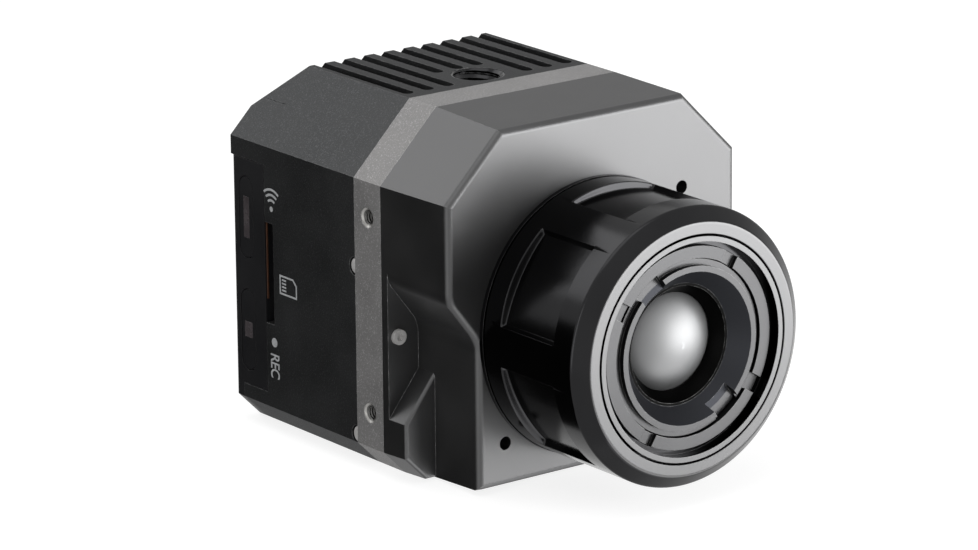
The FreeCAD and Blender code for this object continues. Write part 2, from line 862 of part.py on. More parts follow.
sketch = new_sketch(cover, "socket_holes", "XZ_Plane", case_rear)
draw_box(sketch, "0 - usb_width / 2 - usb_room", "usb_z - usb_height / 2 - usb_room",
         "usb_width / 2 + usb_room", "usb_z + usb_height / 2 + usb_room")
for x in ("coax_x", "0 - coax_x"):
    draw_circle(sketch, x, "coax_z", "plug_room")
for x, z in cover_screw_places:
    draw_circle(sketch, x, z, "tapped_core + screw_clearance")
pocket(cover, sketch, "plate_depth", along=True)
sketch = new_sketch(cover, "screw_seats", "XZ_Plane", case_rear)
for x, z in cover_screw_places:
    draw_circle(sketch, x, z, "screw_head_radius + seat_play")
pocket(cover, sketch, "screw_head_depth + seat_play", along=True)


# Frame ring: the bare metal band that the housing and the front cover close on
ring = new_body("frame_ring")
sketch = new_sketch(ring, "outline", "XZ_Plane", ring_rear)
draw(sketch, inset_outline("0"))
pad(ring, sketch, "ring_depth")
sketch = new_sketch(ring, "opening", "XZ_Plane", ring_front)
draw(sketch, eight_sided(
    "(case_width / 2 - ring_wall)", "ring_wall", "(case_height - ring_wall)",
    "(corner_cut - 2 * ring_wall + ring_corner_wall * sqrt(2))", "ring_gusset"))
pocket(ring, sketch, "ring_depth")

for side, name in (("case_width / 2", "right"), ("0 - case_width / 2", "left")):
    inward = name == "left"
    for shape, radius, depth in (("mouths", "tapped_mouth", "countersink"),
                                 ("cores", "tapped_core", "tapped_depth")):
        sketch = new_sketch(ring, name + "_" + shape, "YZ_Plane", side)
        for z in ("side_hole_low", "side_hole_low + side_hole_spacing"):
            draw_circle(sketch, "ring_hole_y", z, radius)
        pocket(ring, sketch, depth, along=inward)
    sketch = new_sketch(ring, name + "_tabs", "YZ_Plane",
                        "%s %s tab_inset" % (side, "+" if inward else "-"))
    for z in ("tab_low", "tab_high"):
        draw_circle(sketch, ring_rear, z, "tab_radius")
    pad(ring, sketch, "tab_depth", back=not inward)

for shape, radius, depth in (("mouths", "tapped_mouth", "countersink"),
                             ("cores", "tapped_core", "tapped_depth")):
    sketch = new_sketch(ring, "bottom_" + shape, "XY_Plane")
    for x in ("side_hole_spacing / 2", "0 - side_hole_spacing / 2"):
        draw_circle(sketch, x, "ring_hole_y", radius)
    pocket(ring, sketch, depth, along=True)

gaskets = {
    "housing_gasket": (ring_rear, "gasket_inset", "gasket_width", True),
    "cover_gasket": (ring_front, "nose_gasket_inset", "nose_gasket_width", False),
}
for name, (at, inset, width, rear) in gaskets.items():
    sketch = new_sketch(ring, name + "_groove", "XZ_Plane", at)
    draw(sketch, inset_outline(inset))
    draw(sketch, inset_outline("(%s + %s)" % (inset, width)))
    pocket(ring, sketch, "gasket_depth", along=rear)

for name, radius, depth in (
        ("screw_seats", "screw_head_radius + seat_play", "screw_head_depth + seat_play"),
        ("screw_holes", "tapped_core + screw_clearance", "ring_depth")):
    sketch = new_sketch(ring, name, "XZ_Plane", ring_front)
    for x, z in frame_screw_places:
        draw_circle(sketch, x, z, radius)
    pocket(ring, sketch, depth)

nose_screw_places = [("case_width / 2 - nose_screw_inset", "nose_screw_z"),
                     ("nose_screw_inset - case_width / 2", "nose_screw_z")]
sketch = new_sketch(ring, "cover_screw_holes", "XZ_Plane", ring_front)
for x, z in nose_screw_places:
    draw_circle(sketch, x, z, "small_screw_radius")
pocket(ring, sketch, "nose_screw_length")


# Gaskets: rubber loops that fill the ring's two grooves
for label, (at, inset, width, rear) in gaskets.items():
    gasket = new_body(label)
    sketch = new_sketch(gasket, "loop", "XZ_Plane", at)
    draw(sketch, inset_outline("(%s + gasket_play)" % inset))
    draw(sketch, inset_outline("(%s + %s - gasket_play)" % (inset, width)))
    pad(gasket, sketch, "gasket_depth", back=not rear)


# Tripod insert: a blind threaded sleeve, whose flange holds it under the roof
insert = new_body("tripod_insert")
sketch = new_sketch(insert, "flange", "XY_Plane", "case_height - insert_drop - thread_length")
draw_circle(sketch, "0", "0", "insert_flange")
pad(insert, sketch, "insert_flange_depth")
sketch = new_sketch(insert, "sleeve", "XY_Plane", "case_height - insert_drop - thread_length")
draw_circle(sketch, "0", "0", "insert_radius")
pad(insert, sketch, "thread_length")
sketch = new_sketch(insert, "thread", "XY_Plane", "case_height - insert_drop")
draw_circle(sketch, "0", "0", "thread_core")
pocket(insert, sketch, "thread_length - insert_floor")


# Front cover: a tapering eight-sided nose with a stepped recess low on each side
nose = new_body("front_cover")
base = new_sketch(nose, "base", "XZ_Plane", ring_front)
draw(base, inset_outline("0"))
face = new_sketch(nose, "face", "XZ_Plane", nose_front)
draw(face, eight_sided(
    "(case_width / 2 - draft_side)", "draft_bottom", "(case_height - draft_top)",
    "(corner_cut - draft_side - draft_top)", "foot_cut"))
loft = nose.newObject("PartDesign::AdditiveLoft", "front_cover_taper")
loft.Profile = base
loft.Sections = [face]
loft.Ruled = True
finish(nose, loft, True)

recess_slope = "((recess_top - recess_foot) / (case_width / 2 - recess_side))"
block_slope = "((block_top_inner - block_top_outer) / (case_width / 2 - recess_side))"
flange_front = "(%s - flange_depth)" % ring_front
block_front = "(%s - block_depth)" % ring_front


def recess_outline(side, low):
    """The side recess seen from the front, from its top down to low, on one side."""
    sign = "" if side > 0 else "0 - "
    reach = "(case_width / 2 + 3)"
    stops = [
        (reach, "recess_top + 3 * %s" % recess_slope),
        ("recess_side", "recess_foot"),
        ("recess_side", low[0]),
        (reach, low[1]),
    ]
    stops = [(sign + x, z) for x, z in stops]
    return stops if side > 0 else stops[::-1]


deep_low = ("0 - 2", "0 - 2")
shallow_low = ("block_top_inner", "block_top_outer - 3 * %s" % block_slope)
for side, name in ((1, "right"), (-1, "left")):
    sketch = new_sketch(nose, name + "_recess", "XZ_Plane", nose_front)
    draw(sketch, recess_outline(side, deep_low))
    pocket(nose, sketch, "nose_depth - block_depth")
    sketch = new_sketch(nose, name + "_screw_recess", "XZ_Plane", block_front)
    draw(sketch, recess_outline(side, shallow_low))
    pocket(nose, sketch, "block_depth - flange_depth")


def runs_along_y(edge):
    line = edge.Vertexes[-1].Point - edge.Vertexes[0].Point
    return abs(line.y) > 0.9 * line.Length > 0


def at_recess_foot(middle, edge):
    return (runs_along_y(edge) and abs(abs(middle.x) - val("recess_side")) < 0.05
            and abs(middle.z - val("recess_foot")) < 0.05)


def at_recess_top(middle, edge):
    return (runs_along_y(edge) and abs(middle.x) > val("recess_side") + 2
            and abs(middle.z - val("recess_top")) < 1)


round_edges(nose, "recess_round_foot", at_recess_foot, "recess_foot_round", grows=None)
round_edges(nose, "recess_round_top", at_recess_top, "recess_top_round", grows=None)
round_edges(nose, "edge_round", lambda middle, edge: middle.y < val(nose_front) + 0.01,
            "front_round")
round_edges(nose, "block_round", lambda middle, edge:
            abs(middle.y - val(block_front)) < 0.01 and abs(middle.x) > val("recess_side") + 0.05,
            "block_round")

# The hollow inside follows the recess, one wall thickness away
inner_half = "(case_width / 2 - draft_side - cover_wall)"
inner_low_half = "(recess_side - cover_wall)"
inner_low = "(draft_bottom + cover_wall)"
inner_top = "(case_height - draft_top - cover_wall)"
inner_cut = ("(corner_cut - draft_side - draft_top - 2 * cover_wall"
             " + cover_wall * sqrt(2))")
wall_rise = "(cover_wall * sqrt(1 + %s ^ 2))" % recess_slope


def inner_slope_z(x):
    return "(recess_top - (case_width / 2 - %s) * %s + %s)" % (x, recess_slope, wall_rise)


hollow = [
    (inner_low_half, inner_low),
    (inner_low_half, inner_slope_z(inner_low_half)),
    (inner_half, inner_slope_z(inner_half)),
    (inner_half, "%s - %s" % (inner_top, inner_cut)),
    ("%s - %s" % (inner_half, inner_cut), inner_top),
]
hollow += [("0 - (%s)" % x, z) for x, z in reversed(hollow)]
sketch = new_sketch(nose, "hollow", "XZ_Plane", ring_front)
draw(sketch, hollow)
pocket(nose, sketch, "nose_depth - front_plate", along=True)

plate_back = "(%s + front_plate)" % nose_front
accessory_places = [("accessory_offset", "lens_height + accessory_offset"),
                    ("0 - accessory_offset", "lens_height - accessory_offset")]
sketch = new_sketch(nose, "accessory_bosses", "XZ_Plane", plate_back)
for x, z in accessory_places:
    draw_circle(sketch, x, z, "accessory_boss")
pad(nose, sketch, "accessory_depth + 0.6 - front_plate", back=True)
sketch = new_sketch(nose, "accessory_holes", "XZ_Plane", nose_front)
for x, z in accessory_places:
    draw_circle(sketch, x, z, "accessory_core")
pocket(nose, sketch, "accessory_depth")


def collar_screw_places(centre_z):
    angles = [45, 135, 225, 315]
    return [("collar_screw_circle * cos(%d deg)" % angle,
             "%s + collar_screw_circle * sin(%d deg)" % (centre_z, angle)) for angle in angles]


sketch = new_sketch(nose, "lens_bore", "XZ_Plane", nose_front)
draw_circle(sketch, "0", "lens_height", "spigot_radius + running_fit")
for x, z in collar_screw_places("lens_height"):
    draw_circle(sketch, x, z, "small_screw_radius + hole_play")
pocket(nose, sketch, "front_plate")
sketch = new_sketch(nose, "cover_screw_holes", "XZ_Plane", flange_front)
for x, z in nose_screw_places:
    draw_circle(sketch, x, z, "small_screw_radius + hole_play")
pocket(nose, sketch, "flange_depth")


# Turned parts of the lens: each body stands on the lens axis, so a profile is (y, radius)

def lens_body(label):
    body = new_body(label)
    body.Placement.Base.z = val("lens_height")
    bind(body, "Placement.Base.z", "lens_height")
    return body


def turned(label, profile):
    body = lens_body(label)
    sketch = new_sketch(body, "profile", "YZ_Plane")
    draw(sketch, profile)
    turn(body, sketch)
    return body


collar_front = "sleeve_front"
flange_face = "(%s - collar_flange_depth)" % nose_front
shoulder_front = "(%s - shoulder_depth)" % flange_face
collar_bore = "(cell_radius + running_fit)"
collar = turned("lens_collar", [
    ("%s + spigot_depth" % nose_front, collar_bore),
    (collar_front, collar_bore),
    (collar_front, "sleeve_radius"),
    ("clip_front - 0.1", "sleeve_radius"),
    ("clip_front - 0.1", "clip_inner - 0.05"),
    ("clip_front + clip_width + 0.1", "clip_inner - 0.05"),
    ("clip_front + clip_width + 0.1", "sleeve_radius"),
    (shoulder_front, "sleeve_radius"),
    (shoulder_front, "shoulder_radius"),
    (flange_face, "shoulder_radius"),
    (flange_face, "collar_flange"),
    (nose_front, "collar_flange"),
    (nose_front, "spigot_radius"),
    ("%s + spigot_depth" % nose_front, "spigot_radius"),
])
sketch = new_sketch(collar, "screw_holes", "XZ_Plane", nose_front)
for x, z in collar_screw_places("0"):
    draw_circle(sketch, x, z, "small_screw_radius")
pocket(collar, sketch, "shoulder_depth", along=True)
sketch = new_sketch(collar, "pin_slot", "XY_Plane")
slot_half = "(pin_radius + running_fit)"
draw_box(sketch, "0 - " + slot_half, "pin_y - focus_travel - 2 * pin_radius",
         slot_half, "pin_y + 2 * pin_radius")
around(collar, pocket(collar, sketch, "sleeve_radius + 1", along=True), "3")


# Focus ring, with six finger pockets
barrel_rear = "(%s - barrel_gap)" % flange_face
ring_bore = "(sleeve_radius + running_fit)"
focus = turned("focus_ring", [
    (barrel_rear, "shoulder_radius + 0.15"),
    ("%s - 0.15" % shoulder_front, "shoulder_radius + 0.15"),
    ("%s - 0.15" % shoulder_front, ring_bore),
    ("pin_y + pin_radius + 0.1", ring_bore),
    ("pin_y + pin_radius + 0.1", "cam_depth"),
    ("pin_y - focus_travel - pin_radius - 0.1", "cam_depth"),
    ("pin_y - focus_travel - pin_radius - 0.1", ring_bore),
    ("clip_front + clip_width + 0.1", ring_bore),
    ("clip_front + clip_width + 0.1", "clip_outer + 0.1"),
    ("clip_front - 0.1", "clip_outer + 0.1"),
    ("clip_front - 0.1", ring_bore),
    ("sleeve_front - 0.1", ring_bore),
    ("sleeve_front - 0.1", "mouth_radius"),
    ("barrel_front", "mouth_radius"),
    ("barrel_front", "bevel_radius"),
    ("bevel_start", "barrel_radius"),
    (barrel_rear, "barrel_radius"),
])
sketch = new_sketch(focus, "finger_pocket", "YZ_Plane")
pocket_floor = "(barrel_radius - pocket_depth)"
draw(sketch, [
    ("pocket_rear", "barrel_radius + 0.3"),
    ("pocket_front", "barrel_radius + 0.3"),
    ("pocket_front", "barrel_radius"),
    ("pocket_front + pocket_slope", pocket_floor),
    ("pocket_rear - pocket_slope", pocket_floor),
    ("pocket_rear", "barrel_radius"),
])
around(focus, turn(focus, sketch, cut=True, angle="pocket_angle"), "finger_pockets")

clip = turned("focus_clip", [
    ("clip_front", "clip_inner"),
    ("clip_front", "clip_outer"),
    ("clip_front + clip_width", "clip_outer"),
    ("clip_front + clip_width", "clip_inner"),
])
sketch = new_sketch(clip, "opening", "XZ_Plane", "clip_front")
draw_box(sketch, "0 - clip_opening / 2", "0 - clip_outer - 1", "clip_opening / 2", "1 - clip_inner")
pocket(clip, sketch, "clip_width")


# Lens cell and what it holds
cell = turned("lens_cell", [
    ("cell_rear", "rear_glass_bore"),
    ("cell_rear", "cell_radius"),
    ("lip_rear", "cell_radius"),
    ("lip_rear", "lip_radius"),
    ("barrel_front", "lip_radius"),
    ("barrel_front", "lip_bore"),
    ("outer_seat_front", "lip_bore"),
    ("outer_seat_front", "outer_seat"),
    ("outer_seat_rear", "outer_seat"),
    ("outer_seat_rear", "inner_seat"),
    ("inner_seat_rear", "inner_seat"),
    ("inner_seat_rear", "front_glass_bore"),
    ("spacer_seat", "front_glass_bore"),
    ("spacer_seat", "stop_radius"),
    ("rear_glass_seat", "stop_radius"),
    ("rear_glass_seat", "rear_glass_bore"),
])
sketch = new_sketch(cell, "pin_hole", "XY_Plane")
draw_circle(sketch, "0", "pin_y", "pin_radius")
around(cell, pocket(cell, sketch, "cell_radius + 1", along=True), "3")

outer_ring = turned("outer_retaining_ring", [
    ("outer_seat_rear - glass_play", "outer_ring_bore"),
    ("outer_ring_face", "outer_ring_bore"),
    ("outer_ring_face", "outer_ring_radius"),
    ("outer_seat_rear - glass_play", "outer_ring_radius"),
])


def spanner_slots(body, face, width, depth, low, high, angle, count):
    """Radial slots in a ring's front face, the first at an angle from the X axis."""
    sketch = new_sketch(body, "spanner_slot", "XZ_Plane", face)
    cos = "cos(%s * 1 deg)" % angle
    sin = "sin(%s * 1 deg)" % angle
    corners = [(low, "0 - %s / 2" % width), (high, "0 - %s / 2" % width),
               (high, "%s / 2" % width), (low, "%s / 2" % width)]
    draw(sketch, [("(%s) * %s - (%s) * %s" % (along, cos, across, sin),
                   "(%s) * %s + (%s) * %s" % (along, sin, across, cos))
                  for along, across in corners])
    around(body, pocket(body, sketch, depth), count)


spanner_slots(outer_ring, "outer_ring_face", "spanner_slot_width", "spanner_slot_depth",
              "outer_ring_bore - cut_over", "outer_ring_radius + cut_over", "spanner_angle", "4")

inner_ring = turned("inner_retaining_ring", [
    ("inner_ring_face", "funnel_mouth"),
    ("inner_ring_face", "inner_ring_radius - inner_step_inset"),
    ("inner_ring_face + inner_step", "inner_ring_radius - inner_step_inset"),
    ("inner_ring_face + inner_step", "inner_ring_radius"),
    ("inner_seat_rear - glass_play", "inner_ring_radius"),
    ("inner_seat_rear - glass_play", "lens_window + seat_land"),
    ("lens_window_y", "lens_window"),
    ("funnel_foot_y", "funnel_foot - funnel_land"),
    ("funnel_foot_y", "funnel_foot"),
])
spanner_slots(inner_ring, "inner_ring_face", "notch_width", "notch_depth",
              "funnel_foot", "inner_ring_radius + cut_over", "notch_angle", "2")

dome_rim = "(dome_apex + dome_sphere - sqrt(dome_sphere ^ 2 - (lens_window + dome_seat) ^ 2))"
hollow_depth = "(front_glass_hollow - sqrt(front_glass_hollow ^ 2 - (front_glass_radius - glass_rim) ^ 2))"
turned("front_lens", [
    ("dome_apex", "0"),
    (dome_rim, "lens_window + dome_seat", "dome_apex + dome_sphere", "0", -1),
    (dome_rim, "front_glass_radius"),
    ("front_glass_rear", "front_glass_radius"),
    ("front_glass_rear", "front_glass_radius - glass_rim"),
    ("front_glass_rear - %s" % hollow_depth, "0", "front_glass_rear + front_glass_hollow - %s"
     % hollow_depth, "0", 1),
])
turned("lens_spacer", [
    ("front_glass_rear + glass_play", "spacer_bore"),
    ("front_glass_rear + glass_play", "front_glass_radius"),
    ("spacer_seat - glass_play", "front_glass_radius"),
    ("spacer_seat - glass_play", "spacer_bore"),
])
rear_front = "(rear_glass_seat + glass_play)"
rear_back = "(rear_glass_seat + glass_play + rear_glass_depth)"
bulge = "(rear_glass_sphere - sqrt(rear_glass_sphere ^ 2 - rear_glass_radius ^ 2))"
turned("rear_lens", [
    (rear_front, "0"),
    (rear_front, "rear_glass_radius"),
    ("%s - %s" % (rear_back, bulge), "rear_glass_radius"),
    (rear_back, "0", "%s - rear_glass_sphere" % rear_back, "0", -1),
])
turned("rear_lens_ring", [
    ("%s - %s + rear_ring_land" % (rear_back, bulge), "rear_glass_radius - rear_ring_width"),
    ("%s - %s + glass_play" % (rear_back, bulge), "rear_glass_radius"),
    ("cell_rear", "rear_glass_radius"),
    ("cell_rear", "rear_glass_radius - rear_ring_width"),
])

pins = []
for index in range(3):
    angle = 90 + index * 120
    pin_rod = rod("guide_pin_%d" % index, "z", "pin_radius", "pin_reach - pin_foot", "0", "0", "0")
    rotation = FreeCAD.Rotation(FreeCAD.Vector(0, 1, 0), 90 - angle)
    x = "pin_foot * %.6f" % math.cos(math.radians(angle))
    z = "lens_height + pin_foot * %.6f" % math.sin(math.radians(angle))
    pins.append(place(pin_rod, x, "pin_y", z, rotation))
group("guide_pins", pins)


# Shutter between the lens and the detector
shutter_back = "(shutter_plate_front + shutter_plate_depth)"
plate = box("shutter_plate", ("0 - shutter_half_width", "shutter_half_width"),
            ("shutter_plate_front", shutter_back), ("shutter_bottom", "shutter_top"))
shutter_feet = [
    ("shutter_half_width - shutter_foot_inset", "shutter_bottom + shutter_foot_inset"),
    ("shutter_foot_inset - shutter_half_width", "shutter_bottom + shutter_foot_inset"),
    ("shutter_half_width - shutter_foot_inset", "sensor_board_top - shutter_foot_radius"),
    ("shutter_foot_inset - shutter_half_width", "sensor_board_top - shutter_foot_radius"),
]
feet = [rod("shutter_foot_%d" % index, "y", "shutter_foot_radius", "sensor_board_y - %s" % shutter_back,
            x, shutter_back, z) for index, (x, z) in enumerate(shutter_feet)]
pivot = rod("shutter_pivot", "y", "shutter_pin", "flag_gap + flag_depth + pivot_end",
            "shutter_pivot_x", "shutter_plate_front - flag_gap - flag_depth - pivot_end",
            "shutter_pivot_z")
aperture = rod("shutter_opening", "y", "shutter_aperture", "shutter_plate_depth + 2",
               "0", "shutter_plate_front - 1", "lens_height")
keep(without("shutter_frame", fused("shutter_body", [plate, pivot] + feet), [aperture]),
     "shutter_frame")

flag_back = "(shutter_plate_front - flag_gap)"
flag = new_body("shutter_flag")
sketch = new_sketch(flag, "paddle", "XZ_Plane", flag_back)
draw_circle(sketch, "flag_open_x", "flag_open_z", "flag_radius")
pad(flag, sketch, "flag_depth")
sketch = new_sketch(flag, "arm", "XZ_Plane", flag_back)
draw(sketch, [
    ("flag_open_x", "flag_open_z - flag_arm / 2"),
    ("shutter_pivot_x", "shutter_pivot_z - flag_arm / 2"),
    ("shutter_pivot_x", "shutter_pivot_z + flag_arm / 2"),
    ("flag_open_x", "flag_open_z + flag_arm / 2"),
])
pad(flag, sketch, "flag_depth")
sketch = new_sketch(flag, "hub", "XZ_Plane", flag_back)
draw_circle(sketch, "shutter_pivot_x", "shutter_pivot_z", "flag_hub")
pad(flag, sketch, "flag_depth")
sketch = new_sketch(flag, "pivot_hole", "XZ_Plane", flag_back)
draw_circle(sketch, "shutter_pivot_x", "shutter_pivot_z", "shutter_pin + running_fit")
pocket(flag, sketch, "flag_depth", along=True)

coil = box("coil_block", ("shutter_pivot_x - coil_reach", "shutter_pivot_x + coil_side"),
           (shutter_back, "sensor_board_y - coil_gap"),
           ("shutter_pivot_z - coil_drop", "shutter_pivot_z + coil_rise"))
keep(coil, "shutter_coil")


# Detector
package_front = "(sensor_board_y - package_depth)"
package = box("package_block", ("0 - package_width / 2", "package_width / 2"),
              (package_front, "sensor_board_y"),
              ("lens_height - package_width / 2", "lens_height + package_width / 2"))
window_seat = box("package_seat", ("0 - window_width / 2", "window_width / 2"),
                  (package_front, "%s + window_thickness" % package_front),
                  ("lens_height - window_width / 2", "lens_height + window_width / 2"))
keep(without("detector_package", package, [window_seat]), "detector_package")
glass = "(window_width - 2 * seam_gap)"
keep(box("window_glass", ("0 - %s / 2" % glass, "%s / 2" % glass),
         (package_front, "%s + window_thickness" % package_front),
         ("lens_height - %s / 2" % glass, "lens_height + %s / 2" % glass)), "detector_window")


# Boards, with the holes that the standoffs' studs pass
def board(label, y, half, low, high, holes, extra=()):
    plate = box(label + "_plate", ("0 - " + half, half), (y, "%s + board_depth" % y), (low, high))
    tools = [rod("%s_hole_%d" % (label, index), "y", "stud_radius + hole_play",
                 "board_depth + 2", x, "%s - 1" % y, z) for index, (x, z) in enumerate(holes)]
    return keep(without(label, plate, tools + list(extra)), label)


board("sensor_board", "sensor_board_y", "board_half_width", "board_bottom",
      "sensor_board_top", standoff_places)
board("processor_board", "processor_board_y", "board_half_width", "board_bottom",
      "processor_board_top", standoff_places)
usb_cutout = box("usb_cutout", ("0 - usb_width / 2 - seam_gap", "usb_width / 2 + seam_gap"),
                 ("socket_board_y - 1", "socket_board_y + board_depth + 1"),
                 ("usb_z - usb_height / 2 - seam_gap", "usb_z + usb_height / 2 + seam_gap"))
board("socket_board", "socket_board_y", "socket_board_half_width", "board_bottom",
      "socket_board_top", standoff_places, [usb_cutout])

processor_back = "(processor_board_y + board_depth)"
socket_back = "(socket_board_y + board_depth)"


def hexagon(name, radius, length, x, y, z):
    thing = doc.addObject("Part::Prism", name)
    thing.Polygon = 6
    bind(thing, "Circumradius", radius)
    bind(thing, "Height", length)
    return place(thing, x, y, z, AXES["y"])


def standoffs(label, start, end, stud_length, socket_depth):
    posts = []
    for index, (x, z) in enumerate(standoff_places):
        name = "%s_%d" % (label, index)
        body = hexagon(name + "_hex", "standoff_radius * 2 / sqrt(3)", "%s - %s" % (end, start),
                       x, start, z)
        stud = rod(name + "_stud", "y", "stud_radius - thread_play", stud_length, x, end, z)
        socket = rod(name + "_socket", "y", "stud_radius", socket_depth, x, start, z)
        posts.append(without(name, fused(name + "_whole", [body, stud]), [socket]))
    return group(label, posts)


standoffs("front_standoffs", "(sensor_board_y + board_depth)", "processor_board_y",
          "board_depth + stud_free", "front_socket")
standoffs("rear_standoffs", processor_back, "socket_board_y",
          "board_depth + stud_free", "rear_socket")


# Chips and the links between boards
chip_half = "(chip_size / 2)"
chips = [
    box("main_chip", ("0 - " + chip_half, chip_half),
        (processor_back, "%s + chip_depth" % processor_back),
        ("chip_z - " + chip_half, "chip_z + " + chip_half)),
]
for side in ("0 - memory_reach", "memory_reach - memory_width"):
    chips.append(box("memory_chip_%d" % len(chips), (side, side + " + memory_width"),
                     ("processor_board_y - memory_depth", "processor_board_y"),
                     ("chip_z - memory_height / 2", "chip_z + memory_height / 2")))
group("processor_chips", chips)
group("board_connectors", [
    box("sensor_link", ("0 - sensor_link_half_width", "sensor_link_half_width"),
        ("sensor_board_y + board_depth", "processor_board_y"),
        ("board_bottom + sensor_link_rise",
         "board_bottom + sensor_link_rise + sensor_link_height")),
    box("socket_link", ("standoff_x - socket_link_inset",
                        "standoff_x - socket_link_inset + socket_link_width"),
        (processor_back, "socket_board_y"), ("socket_link_low", "socket_link_high")),
])
keep(box("module_block", ("0", "module_width"), ("socket_board_y - module_depth", "socket_board_y"),
         ("slot_low + module_rise", "slot_low + module_rise + module_height")), "wireless_module")


# Heat path: from the main chip, under the tripod insert, up to the finned roof
spreader_front = "(%s + chip_depth + pad_depth)" % processor_back
spreader_top = "(case_height - top_wall - pad_depth)"
ledge_top = "(case_height - insert_drop - thread_length - ledge_gap)"
spreader = new_body("heat_spreader")
sketch = new_sketch(spreader, "profile", "YZ_Plane", "0 - spreader_half_width")
draw(sketch, [
    (spreader_front, "chip_z - chip_size / 2"),
    ("%s + spreader_depth" % spreader_front, "chip_z - chip_size / 2"),
    ("%s + spreader_depth" % spreader_front, "%s - spreader_depth" % ledge_top),
    ("spreader_rear", "%s - spreader_depth" % ledge_top),
    ("spreader_rear", spreader_top),
    ("boss_rear + boss_gap", spreader_top),
    ("boss_rear + boss_gap", ledge_top),
    (spreader_front, ledge_top),
])
pad(spreader, sketch, "2 * spreader_half_width")
group("thermal_pads", [
    box("chip_pad", ("0 - " + chip_half, chip_half),
        ("%s + chip_depth" % processor_back, spreader_front),
        ("chip_z - " + chip_half, "chip_z + " + chip_half)),
    box("roof_pad", ("0 - spreader_half_width", "spreader_half_width"),
        ("boss_rear + boss_gap", "spreader_rear"), (spreader_top, "case_height - top_wall")),
])


# Sockets on the rear board
socket_mouth = "(wall + seam_gap - case_width / 2)"
card_shell = box("card_shell", (socket_mouth, "%s + socket_reach" % socket_mouth),
                 ("slot_y - socket_wall", "socket_board_y - glass_play"),
                 ("slot_low - 2 * socket_wall", "slot_high + 2 * socket_wall"))
card_room = box("card_room", ("%s - 1" % socket_mouth, "%s + socket_reach - socket_end" % socket_mouth),
                ("slot_y", "socket_board_y - socket_wall"), ("slot_low", "slot_high"))
keep(without("card_socket", card_shell, [card_room]), "card_socket")

usb_rear = "(%s - usb_setback)" % case_rear
usb_shell = box("usb_shell", ("0 - usb_width / 2", "usb_width / 2"),
                ("%s - usb_length" % usb_rear, usb_rear),
                ("usb_z - usb_height / 2", "usb_z + usb_height / 2"))
usb_room = box("usb_room", ("usb_wall - usb_width / 2", "usb_width / 2 - usb_wall"),
               ("%s - usb_length + usb_floor" % usb_rear, "%s + 1" % usb_rear),
               ("usb_z - usb_height / 2 + usb_wall", "usb_z + usb_height / 2 - usb_wall"))
usb_tongue = box("usb_tongue", ("usb_tongue_inset - usb_width / 2", "usb_width / 2 - usb_tongue_inset"),
                 ("%s - usb_length + usb_tongue_root" % usb_rear, "%s - usb_tongue_setback" % usb_rear),
                 ("usb_z - usb_tongue_low", "usb_z + usb_tongue_high"))
keep(fused("usb_whole", [without("usb_case", usb_shell, [usb_room]), usb_tongue]), "usb_socket")

jacks = []
for side, x in (("right", "coax_x"), ("left", "0 - coax_x")):
    jack_base = rod(side + "_jack_base", "y", "coax_base", "coax_base_depth", x, socket_back, "coax_z")
    barrel = rod(side + "_jack_barrel", "y", "coax_radius", "%s - %s" % (usb_rear, socket_back),
                 x, socket_back, "coax_z")
    bore = rod(side + "_jack_bore", "y", "coax_radius - coax_wall", "coax_depth + usb_setback", x,
               "%s - coax_depth" % usb_rear,
               "coax_z")
    contact = rod(side + "_jack_contact", "y", "coax_pin", "coax_depth", x,
                  "%s - coax_depth - coax_pin_root" % usb_rear, "coax_z")
    hollow_jack = without(side + "_jack_shell", fused(side + "_jack_solid", [jack_base, barrel]),
                          [bore])
    jacks.append(fused(side + "_jack", [hollow_jack, contact]))
group("coax_jacks", jacks)


# Side buttons, with their windows, switches and the plungers they push
button_outer = "(button_setback - case_width / 2)"
button_inner = "(wall + button_setback - case_width / 2)"
flange_back = "(wall + button_setback + button_flange_depth - case_width / 2)"
plunger_face = "(0 - switch_face - plunger_proud)"
switches = []
leds = []
for name, z in button_places.items():
    button = new_body(name + "_button")
    sketch = new_sketch(button, "cap", "YZ_Plane", button_outer)
    stadium(sketch, "button_y", z, "button_length", "button_width")
    pad(button, sketch, "wall")
    sketch = new_sketch(button, "flange", "YZ_Plane", button_inner)
    stadium(sketch, "button_y", z, "(button_length + 2 * button_flange)",
            "(button_width + 2 * button_flange)")
    pad(button, sketch, "button_flange_depth")
    sketch = new_sketch(button, "stem", "YZ_Plane", flange_back)
    draw_circle(sketch, "button_y", z, "button_stem")
    pad(button, sketch, "%s - %s" % (plunger_face, flange_back))
    length = name + "_window_length"
    width = name + "_window_width"
    sketch = new_sketch(button, "window_seat", "YZ_Plane", button_outer)
    draw_box(sketch, "button_y - %s / 2" % width, "%s - %s / 2" % (z, length),
             "button_y + %s / 2" % width, "%s + %s / 2" % (z, length))
    pocket(button, sketch, "window_depth", along=True)
    keep(box(name + "_pane", (button_outer, "%s + window_depth" % button_outer),
             ("button_y - %s / 2" % width, "button_y + %s / 2" % width),
             ("%s - %s / 2" % (z, length), "%s + %s / 2" % (z, length))), name + "_window")
    keep(rod(name + "_rod", "x", "plunger_radius", "plunger_length", plunger_face, "button_y", z),
         name + "_plunger")
    block = box(name + "_switch_block", ("0 - switch_face", "switch_depth - switch_face"),
                (socket_back, "%s - switch_gap" % plate_inner),
                ("%s - switch_height / 2" % z, "%s + switch_height / 2" % z))
    guide = rod(name + "_switch_guide", "x", "plunger_radius + running_fit",
                "plunger_length + button_travel", plunger_face, "button_y", z)
    switches.append(without(name + "_switch", block, [guide]))
    leds.append(box(name + "_led", ("0 - switch_face - led_proud", "led_length - led_proud - switch_face"),
                    (socket_back, "%s + led_depth" % socket_back),
                    ("%s - switch_height / 2 - led_gap - led_height" % z,
                     "%s - switch_height / 2 - led_gap" % z)))
group("tact_switches", switches)
group("status_leds", leds)


